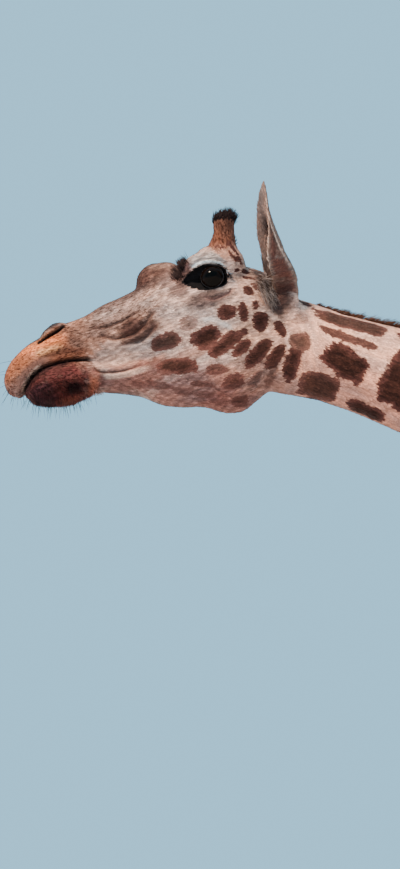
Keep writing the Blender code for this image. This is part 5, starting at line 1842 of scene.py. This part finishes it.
def hair_mesh(name, points, faces, roots, tips):
    """One mesh of many hairs of one form, points shaped (hair, corner, xyz), with the roots' fields."""
    count, corners = points.shape[:2]
    data = bpy.data.meshes.new(name)
    all_faces = (np.arange(count)[:, None, None] * corners + faces[None]).reshape(-1, 3)
    data.vertices.add(count * corners)
    data.vertices.foreach_set("co", points.astype(np.float32).ravel())
    data.loops.add(all_faces.size)
    data.loops.foreach_set("vertex_index", all_faces.astype(np.int32).ravel())
    data.polygons.add(len(all_faces))
    data.polygons.foreach_set("loop_start", np.arange(0, all_faces.size, 3, dtype=np.int32))
    data.update(calc_edges=True)
    data.shade_smooth()
    obj = new_object(name, data)
    fields = {key: np.repeat(roots[key], corners, axis=0) for key in SHADER_FIELDS if key in roots}
    fields["tip"] = np.tile(tips, count)
    write_fields(obj, fields)
    return obj


def make_hairs(name, roots, ways, length, width, bend, material, places, bends=2):
    """Long hairs: three-sided spikes that start along ways and turn towards bend."""
    across = unit(np.cross(ways, bend) + 1e-6)
    third = unit(np.cross(ways, across))
    rings, tips = [], []
    spot, way = roots["seat"], unit(ways)
    step = length[:, None] / (bends + 1)
    for i in range(bends + 1):
        thick = (width * (1 - 0.28 * i / max(bends, 1)) / 2)[:, None]
        for turn in (0, 2 * math.pi / 3, 4 * math.pi / 3):
            rings.append(spot + thick * (math.cos(turn) * across + math.sin(turn) * third))
            tips.append(i / (bends + 1))
        spot = spot + way * step
        way = unit(way + bend / (bends + 1))
    points = np.stack([*rings, spot], axis=1)
    tips.append(1.0)
    faces = [(0, 2, 1)]
    for i in range(bends):
        for j in range(3):
            a, b = 3 * i + j, 3 * i + (j + 1) % 3
            faces += [(a, b, b + 3), (a, b + 3, a + 3)]
    top = 3 * (bends + 1)
    faces += [(top - 3 + j, top - 3 + (j + 1) % 3, top) for j in range(3)]
    obj = hair_mesh(name, points, np.array(faces), roots, np.array(tips))
    obj.data.materials.append(material)
    bake_patches(obj, places, points.shape[1])
    return obj


TUFT_RISE = 0.07  # how far a tuft stands up, over its length
COATS = {  # where it grows, tufts, mean length, mean width
    "coat_face": ("head", 48000, 0.0050, 0.0014),
    "coat_cheeks": ("head", 49000, 0.0060, 0.0020),
    "coat_nape": ("neck", 49000, 0.0072, 0.0024),
    "coat_neck": ("neck", 49000, 0.0130, 0.0032),
    "coat_body": ("trunk", 44000, 0.0180, 0.0045),
    "coat_legs": ("leg", 34000, 0.0140, 0.0036),
}


def coat_areas(place):
    """Where each piece of the coat grows, by vertex."""
    s, p = place.s, place.points
    head = fade(0.055, 0.075, s) * (1 - place.bare)
    face = head * fade(0.34, 0.40, place.h[:, 0])
    neck = smoothstep(0.055, 0.075, s) * fade(1.95, 2.00, s)
    nape = neck * fade(0.56, 0.60, s)
    tail = smoothstep(1.80, 1.82, place.local[:, 0])
    on_legs = np.maximum(place.trunk * fade(1.66, 1.70, p[:, 2]), tail)
    return {
        "coat_face": face,
        "coat_cheeks": head - face,
        "coat_nape": nape,
        "coat_neck": neck - nape,
        "coat_body": smoothstep(1.95, 2.00, s) * (1 - on_legs),
        "coat_legs": on_legs * (p[:, 2] > 0.145),
    }


def make_coat(source, place, material):
    """Short tufts all over, in six pieces, smallest on the muzzle, the ears and the feet."""
    areas = coat_areas(place)
    made = []
    for seed, (name, (part, count, length, width)) in enumerate(COATS.items(), 80):
        roots = pick_roots(*source, areas[name], count, seed)
        h = world_to_head(roots["seat"])
        size = np.random.default_rng(seed + 100).uniform(0.65, 1.35, count)
        size *= 0.6 + 0.4 * smoothstep(0.10, 0.30, h[:, 0])
        size *= 1 - 0.4 * (smoothstep(0.06, 0.10, h[:, 2]) * smoothstep(0.62, 0.65, h[:, 0]))
        size *= 0.6 + 0.4 * smoothstep(0.15, 0.90, roots["seat"][:, 2])
        places = unwrapped(roots, part)
        tufts = make_tufts(name, roots, length * size, width * np.sqrt(size), material, places)
        made.append(tufts)
    return made


# ---------------------------------------------------------------- long hair
MANE = (  # distance from the head, height of the hair, half its thickness
    (0.04, 0.009, 0.006),
    (0.16, 0.019, 0.009),
    (0.40, 0.034, 0.012),
    (0.80, 0.056, 0.014),
    (1.30, 0.064, 0.015),
    (1.65, 0.048, 0.013),
    (1.90, 0.012, 0.007),
)
MANE_SUNK = 0.006  # its roots lie this far under the skin
TUFT_TOP, TUFT_END = 1.62, 0.87  # heights of the tail tuft's ends
HEAD_BACK = np.array([TURN_C, 0, TURN_S])
HEAD_UP = np.array([-TURN_S, 0, TURN_C])
DOWN = np.array([0, 0, -1.0])
UP_AND_BACK = HEAD_UP * 0.75 + HEAD_BACK * 0.40
UP_AND_AHEAD = HEAD_UP * 0.90 - HEAD_BACK * 0.30
BACK_AND_DOWN = HEAD_BACK * 0.50 + DOWN * 0.35
HANGING, HANGING_BEND = np.array([0.28, 0, -0.90]), np.array([0.1, 0, -0.2])
NOWHERE = np.zeros(3)
# Hair that stands out on the head: count, way as shares of the skin's normal and of the coat's lie and
# a direction of its own, bend, shortest and longest, width, bends, seed, material.
HEAD_HAIR = {
    "ossicone_hair": (1700, 0.40, 0, UP_AND_BACK, HEAD_BACK * 0.5, (0.009, 0.026), 0.0017, 1, 221, "dark"),
    "brow_lashes": (1800, 0.16, 0, UP_AND_AHEAD, HEAD_UP * 0.3, (0.010, 0.024), 0.0013, 1, 223, "dark"),
    "lid_lashes": (160, 0.60, 0, BACK_AND_DOWN, HEAD_UP * 0.3, (0.009, 0.016), 0.0009, 1, 225, "dark"),
    "chin_hair": (7000, 0.75, 0.5, DOWN * 0.25, HEAD_BACK * 0.25, (0.007, 0.014), 0.0012, 1, 227, "coat"),
    "lip_hair": (4200, 0.45, 0.8, NOWHERE, HEAD_BACK * 0.3, (0.004, 0.008), 0.0009, 1, 229, "coat"),
    "whiskers": (190, 1.00, 0, DOWN * 0.45, DOWN * 0.25, (0.020, 0.046), 0.0009, 2, 231, "dark"),
    "ear_fringe": (2000, 0.15, 0.9, NOWHERE, HEAD_UP * 0.3, (0.006, 0.011), 0.0010, 1, 233, "coat"),
    "ear_root_hair": (2400, 0.13, 0, HANGING, HANGING_BEND, (0.026, 0.050), 0.0007, 2, 235, "ear"),
    "ear_hollow_hair": (900, 0.12, 0.95, NOWHERE, HEAD_UP * 0.1, (0.012, 0.022), 0.0010, 1, 237, "coat"),
}
LAID_FLAT = "ear_root_hair"  # its own direction is first laid along the skin


def make_mane(material, count=11000):
    """Stiff upright hair along the crest of the neck."""
    rng = np.random.default_rng(201)
    s = rng.uniform(MANE[0][0], MANE[-1][0], count)
    height, half = sample(MANE, s)
    depth = sample(NECK, s)[0]
    centre, back = neck_line(s)
    up = upward(back)
    aside = rng.normal(0, 0.55, count) * half
    seat = centre + up * (1.02 * depth + crest_lift(s) - MANE_SUNK - 6 * aside**2)[:, None]
    seat[:, 1] += aside
    clump = wobble(seat, 0.026, 202)[:, None]
    lean = 0.75 - 0.38 * smoothstep(0.3, 0.9, s)[:, None]
    ways = up + back * (lean + 0.22 * clump + rng.normal(0, 0.08, (count, 1)))
    ways[:, 1] += aside * 12 + rng.normal(0, 0.10, count)
    length = (1.25 * height + 0.008) * rng.uniform(0.72, 1.12, count) * (0.85 + 0.40 * clump[:, 0])
    roots = {"seat": seat, "own": rng.random(count), "s": s}
    roots["fur"] = np.stack([seat[:, 2], s * 3, seat[:, 1]], axis=1)
    places = np.stack([s / 2.0, 0.5 + aside * 10], axis=1)
    width = 0.0012 + 0.0012 * smoothstep(0.2, 0.8, s)
    obj = make_hairs("mane_hair", roots, unit(ways), length, width, back * 0.35, material, places, 1)
    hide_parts("mane")
    return obj


def make_tail_tuft(material, count=3600):
    """The long black hair that hangs from the end of the tail."""
    rng = np.random.default_rng(211)
    z = TUFT_TOP - 0.14 * rng.random(count) ** 0.8
    turn = rng.uniform(0, 2 * math.pi, count)
    out = np.stack([np.cos(turn), np.sin(turn), np.zeros(count)], axis=1)
    tail_x, radius = sample([(row[1], row[0], row[2]) for row in TAIL[::-1]], z)
    seat = np.stack([tail_x + SHOULDER_X, np.zeros(count), z], axis=1) + out * (0.7 * radius)[:, None]
    spread = rng.uniform(0.01, 0.13, count)[:, None]
    ways = unit(DOWN + out * spread + rng.normal(0, 0.02, (count, 3)))
    bend = -out * spread * 1.25
    length = (z - TUFT_END) * rng.uniform(0.62, 0.99, count)
    roots = {"seat": seat, "own": rng.random(count), "fur": seat, "s": z}
    places = np.stack([(z - 1.4) * 4, turn / (2 * math.pi)], axis=1)
    width = np.full(count, 0.0024)
    obj = make_hairs("tail_tuft_hair", roots, ways, length, width, bend, material, places, 4)
    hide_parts("tail_tuft")
    return obj


def grow(name, source, weight, materials):
    """One piece of the head's standing hair, on the skin where a weight says."""
    count, on_normal, on_lie, way, bend, lengths, width, bends, seed, material = HEAD_HAIR[name]
    roots = pick_roots(*source, weight, count, seed)
    rng = np.random.default_rng(seed + 1)
    if name == LAID_FLAT:
        way = along_skin(roots["normal"], way)
    ways = roots["normal"] * on_normal + roots["lie"] * on_lie + way
    ways = unit(ways + rng.normal(0, 0.14, (count, 3)))
    length = rng.uniform(*lengths, count)
    places = unwrapped(roots, "head")
    roots["seat"] = roots["seat"] - 0.0015 * roots["normal"]
    width = np.full(count, width)
    made = make_hairs(name, roots, ways, length, width, bend, materials[material], places, bends)
    return made


def make_head_hair(source, place, materials):
    """Hair that stands out on the head: ossicone tops, brow, lids, chin, lips, whiskers and ears."""
    h, t, arc = place.h, place.ear_t, np.abs(place.ear_arc)
    gap = lid_gap(h)
    u, v = lid_plane(h)
    horn_top = place.horn + 2.5 * np.clip(h[:, 0] - 0.598, -0.03, 0.01)
    chin = nearness(h, (0.120, 0.0, -0.085), (0.105, 0.25, 0.050)) * (h[:, 2] < -0.02)
    lips = nearness(h, (0.060, 0.0, -0.020), (0.070, 0.25, 0.075)) * (1 - place.bare)
    weights = {
        "ossicone_hair": smoothstep(0.78, 0.88, horn_top) * (place.horn > 0.5),
        "brow_lashes": nearness(h, (0.468, 0.080, 0.128), (0.030, 0.060, 0.046)),
        "lid_lashes": ((gap > -0.0075) & (gap < -0.0030) & (v > -0.004) & (u > 0.026)).astype(float),
        "chin_hair": chin,
        "lip_hair": lips,
        "whiskers": np.clip(chin + 0.6 * lips, 0, 1),
        "ear_fringe": place.ear * smoothstep(0.86, 0.95, arc) * (t < 0.92),
        "ear_root_hair": nearness(h, (0.648, 0.070, 0.035), (0.022, 0.065, 0.055)) * (1 - place.ear),
        "ear_hollow_hair": place.ear * (place.ear_reach < 0.9) * (arc < 0.9) * (t < 0.75),
    }
    return [grow(name, source, weights[name], materials) for name in HEAD_HAIR]


# ---------------------------------------------------------------- eyes and hooves
IRIS_EDGE = 1.13  # angle from the middle of the cornea, in radians
EYE_FIELDS = {"ring": "FLOAT", "pupil": "FLOAT", "iris": "FLOAT_VECTOR"}
RING_RISE, RING_SPACING = 0.0012, 0.011  # growth rings of the hooves
TOE = (  # height, front and back along x from the leg's line, half-width
    (0.000, -0.140, 0.084, 0.046),
    (0.030, -0.124, 0.088, 0.046),
    (0.070, -0.101, 0.085, 0.043),
    (0.105, -0.083, 0.076, 0.038),
    (0.135, -0.070, 0.064, 0.032),
)


def eye_material():
    """Near-black and wet, with a dark brown iris, a long pupil and a paler line round the cornea, partly its
    limbus and partly a painted reflection.
    """
    made, tree, shader = new_material("eye")
    ring = attribute_node(tree, "ring")
    pupil = attribute_node(tree, "pupil")
    strand = noise_node(tree, attribute_node(tree, "iris", "Vector"), (4.0, 46.0, 1.0), 3.0)
    iris = mix_node(tree, strand, (0.0015, 0.001, 0.001), (0.006, 0.003, 0.002))
    colour = mix_node(tree, ramp_node(tree, pupil, 0.9, 1.1, 1.0, 0.0), iris, (0.001, 0.001, 0.001))
    # paler ring at the cornea's edge: partly the limbus, partly a painted reflection along the wet rim
    colour = mix_node(tree, ramp_node(tree, ring, 0.94, 1.0), colour, (0.034, 0.031, 0.034))
    colour = mix_node(tree, ramp_node(tree, ring, 1.0, 1.06), colour, (0.004, 0.003, 0.003))
    tree.links.new(colour, shader.inputs["Base Color"])
    shader.inputs["Roughness"].default_value = 0.04
    shader.inputs["Specular IOR Level"].default_value = 0.05
    return made


def make_eye(side, material, steps=56, around=72):
    """One eyeball with its cornea, looking out and a little forward."""
    angle = np.linspace(0, math.pi, steps)
    turn = np.linspace(0, 2 * math.pi, around, endpoint=False)
    angle, turn = np.meshgrid(angle[1:-1], turn, indexing="ij")
    radius = EYE_RADIUS * (0.985 + 0.035 * np.exp(-((angle / 0.62) ** 2)))
    axis = unit(np.array([-0.16, side * 1.0, 0.05]))
    first = unit(np.cross([0, 0, 1.0], axis))
    second = np.cross(axis, first)
    flat = np.cos(turn)[..., None] * first + np.sin(turn)[..., None] * second
    ball = (np.cos(angle)[..., None] * axis + np.sin(angle)[..., None] * flat) * radius[..., None]
    centre = np.array((EYE_SHOWN[0], side * EYE_SHOWN[1], EYE_SHOWN[2]))
    points, faces = ring_form(head_to_world(centre + ball))
    obj = join_forms("eyeball_" + ("left" if side < 0 else "right"), [(points, faces)])
    ring = (angle / IRIS_EDGE).ravel()
    pupil = np.hypot(angle * np.cos(turn) / 0.52, angle * np.sin(turn) / 0.24).ravel()
    iris = np.stack([ring, turn.ravel() / (2 * math.pi), ring * 0], axis=1)
    write_fields(obj, {"ring": ring, "pupil": pupil, "iris": iris}, EYE_FIELDS)
    obj.data.materials.append(material)
    obj.data.shade_smooth()
    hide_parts("eye_left" if side < 0 else "eye_right")
    return obj


def hoof_material():
    """Dull dark horn, streaked downwards and ringed by growth."""
    made, tree, shader = new_material("hoof")
    place = add_node(tree, "ShaderNodeTexCoord").outputs["Object"]
    streak = noise_node(tree, place, (160.0, 160.0, 9.0), 3.0)
    ring = noise_node(tree, place, (5.0, 5.0, 130.0), 2.0)
    colour = mix_node(tree, streak, (0.050, 0.036, 0.030), (0.150, 0.110, 0.085))
    colour = mix_node(tree, math_node(tree, "MULTIPLY", ring, 0.5), colour, (0.075, 0.055, 0.045))
    tree.links.new(colour, shader.inputs["Base Color"])
    tree.links.new(math_node(tree, "MULTIPLY_ADD", streak, 0.25, 0.38), shader.inputs["Roughness"])
    height = math_node(tree, "ADD", streak, ring)
    bump = add_node(tree, "ShaderNodeBump", Strength=0.35, Distance=0.002, Height=height)
    tree.links.new(bump.outputs[0], shader.inputs["Normal"])
    return made


def make_hoof(node, material, steps=30, around=56):
    """One toe over its solid: a flat sole, growth rings and a rounded front edge."""
    low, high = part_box(node)
    z = np.linspace(0, 1, steps) ** 0.9 * high.z
    front, back, width = sample(TOE, z)
    leg_x, middle_y = low.x - TOE[0][1], (low.y + high.y) / 2
    rings = RING_RISE * np.sin(z * 2 * math.pi / RING_SPACING) * smoothstep(0.01, 0.03, z)
    shape = oval((back - front) / 2 - RING_RISE + rings, width - RING_RISE + rings, around, 2.5)
    shape[0] *= 0.96
    x = leg_x + ((front + back) / 2)[:, None] + shape[..., 0]
    ring = np.stack([x, middle_y + shape[..., 1], np.repeat(z[:, None], around, axis=1)], axis=-1)
    obj = join_forms(node.replace("hoof", "toe"), [ring_form(ring)])
    obj.data.materials.append(material)
    obj.data.shade_smooth()
    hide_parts(node)
    return obj


# ---------------------------------------------------------------- stage, light and camera
FLOOR_SIZE = 400.0
FLOOR_COLOUR = (0.60, 0.61, 0.62)
SKY = (0.42, 0.86, 1.16)
SUNS = {  # strength, where it shines from and to, colour, angle
    "sun": (9.2, (-4, -5, 9), (0, 0, 2), (1.0, 0.80, 0.60), 10),
    "back_sun": (1.0, (3, 6, 8), (0, 0, 2), (1.0, 0.92, 0.82), 25),
}
CAMERA_AT = (-1.7329, -4.0454, 2.5742)
CAMERA_PITCH = math.radians(14)  # it looks up at the head
VIEW_DISTANCE, VIEW_HEIGHT = 4.2, 2.04215  # how far the head is, and what the picture's height spans there


def add_sun(name, strength, place, target, colour, angle):
    """A wide sun, for soft light."""
    light = bpy.data.lights.new(name, "SUN")
    light.energy, light.color, light.angle = strength, colour, math.radians(angle)
    obj = new_object(name, light)
    obj.location = place
    obj.rotation_euler = (Vector(target) - Vector(place)).to_track_quat("-Z", "Y").to_euler()


def make_stage():
    """Floor, soft daylight and the camera at the photo's angle."""
    data = bpy.data.meshes.new("floor")
    half = FLOOR_SIZE / 2
    corners = [(-half, -half, 0), (half, -half, 0), (half, half, 0), (-half, half, 0)]
    data.from_pydata(corners, [], [(0, 1, 2, 3)])
    floor = new_object("floor", data)
    floor.location.z = -0.002
    material, _, shader = new_material("floor")
    shader.inputs["Base Color"].default_value = (*FLOOR_COLOUR, 1)
    shader.inputs["Roughness"].default_value = 0.9
    data.materials.append(material)

    world = bpy.data.worlds.new("sky")
    world.use_nodes = True
    background = world.node_tree.nodes["Background"]
    background.inputs["Color"].default_value = (*SKY, 1)
    background.inputs["Strength"].default_value = 1.0
    bpy.context.scene.world = world
    for name, sun in SUNS.items():
        add_sun(name, *sun)

    camera = bpy.data.cameras.new("camera")
    camera.sensor_width = 36
    camera.lens = camera.sensor_width * VIEW_DISTANCE / VIEW_HEIGHT
    obj = new_object("camera", camera)
    obj.location = CAMERA_AT
    obj.rotation_euler = (math.pi / 2 + CAMERA_PITCH, 0, 0)
    bpy.context.scene.camera = obj


# ---------------------------------------------------------------- assembly
HAIR_COLOURS = {  # root, tip, roughness, and the colour of half of the hairs where it differs
    "dark": ((0.010, 0.005, 0.006), (0.022, 0.012, 0.012), 0.55),
    "ear": ((0.045, 0.026, 0.023), (0.060, 0.038, 0.033), 0.50, (0.23, 0.185, 0.175)),
    "mane": ((0.050, 0.020, 0.014), (0.120, 0.052, 0.032), 0.50),
    "tail": ((0.014, 0.010, 0.009), (0.030, 0.020, 0.016), 0.40),
}
NOT_SKIN = ("eye", "hoof", "mane", "tail_tuft")


def main():
    """All the pieces, each riding on the still body."""
    skin = make_skin()
    source, place = skin_fields(skin)
    write_fields(skin, source[0])
    skin.data.materials.append(coat_material("coat_skin", False))
    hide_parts(*[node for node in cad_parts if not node.startswith(NOT_SKIN)])

    coat = coat_material("coat_hair", True)
    hair = {name: hair_material(f"{name}_hair", *colours) for name, colours in HAIR_COLOURS.items()}
    eye, horn = eye_material(), hoof_material()
    pieces = [skin, *make_coat(source, place, coat)]
    pieces += make_head_hair(source, place, {"coat": coat, **hair})
    pieces += [make_mane(hair["mane"]), make_tail_tuft(hair["tail"])]
    pieces += [make_eye(side, eye) for side in SIDES]
    pieces += [make_hoof(node, horn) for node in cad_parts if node.startswith("hoof")]
    for piece in pieces:
        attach(piece, "root")


main()
make_stage()
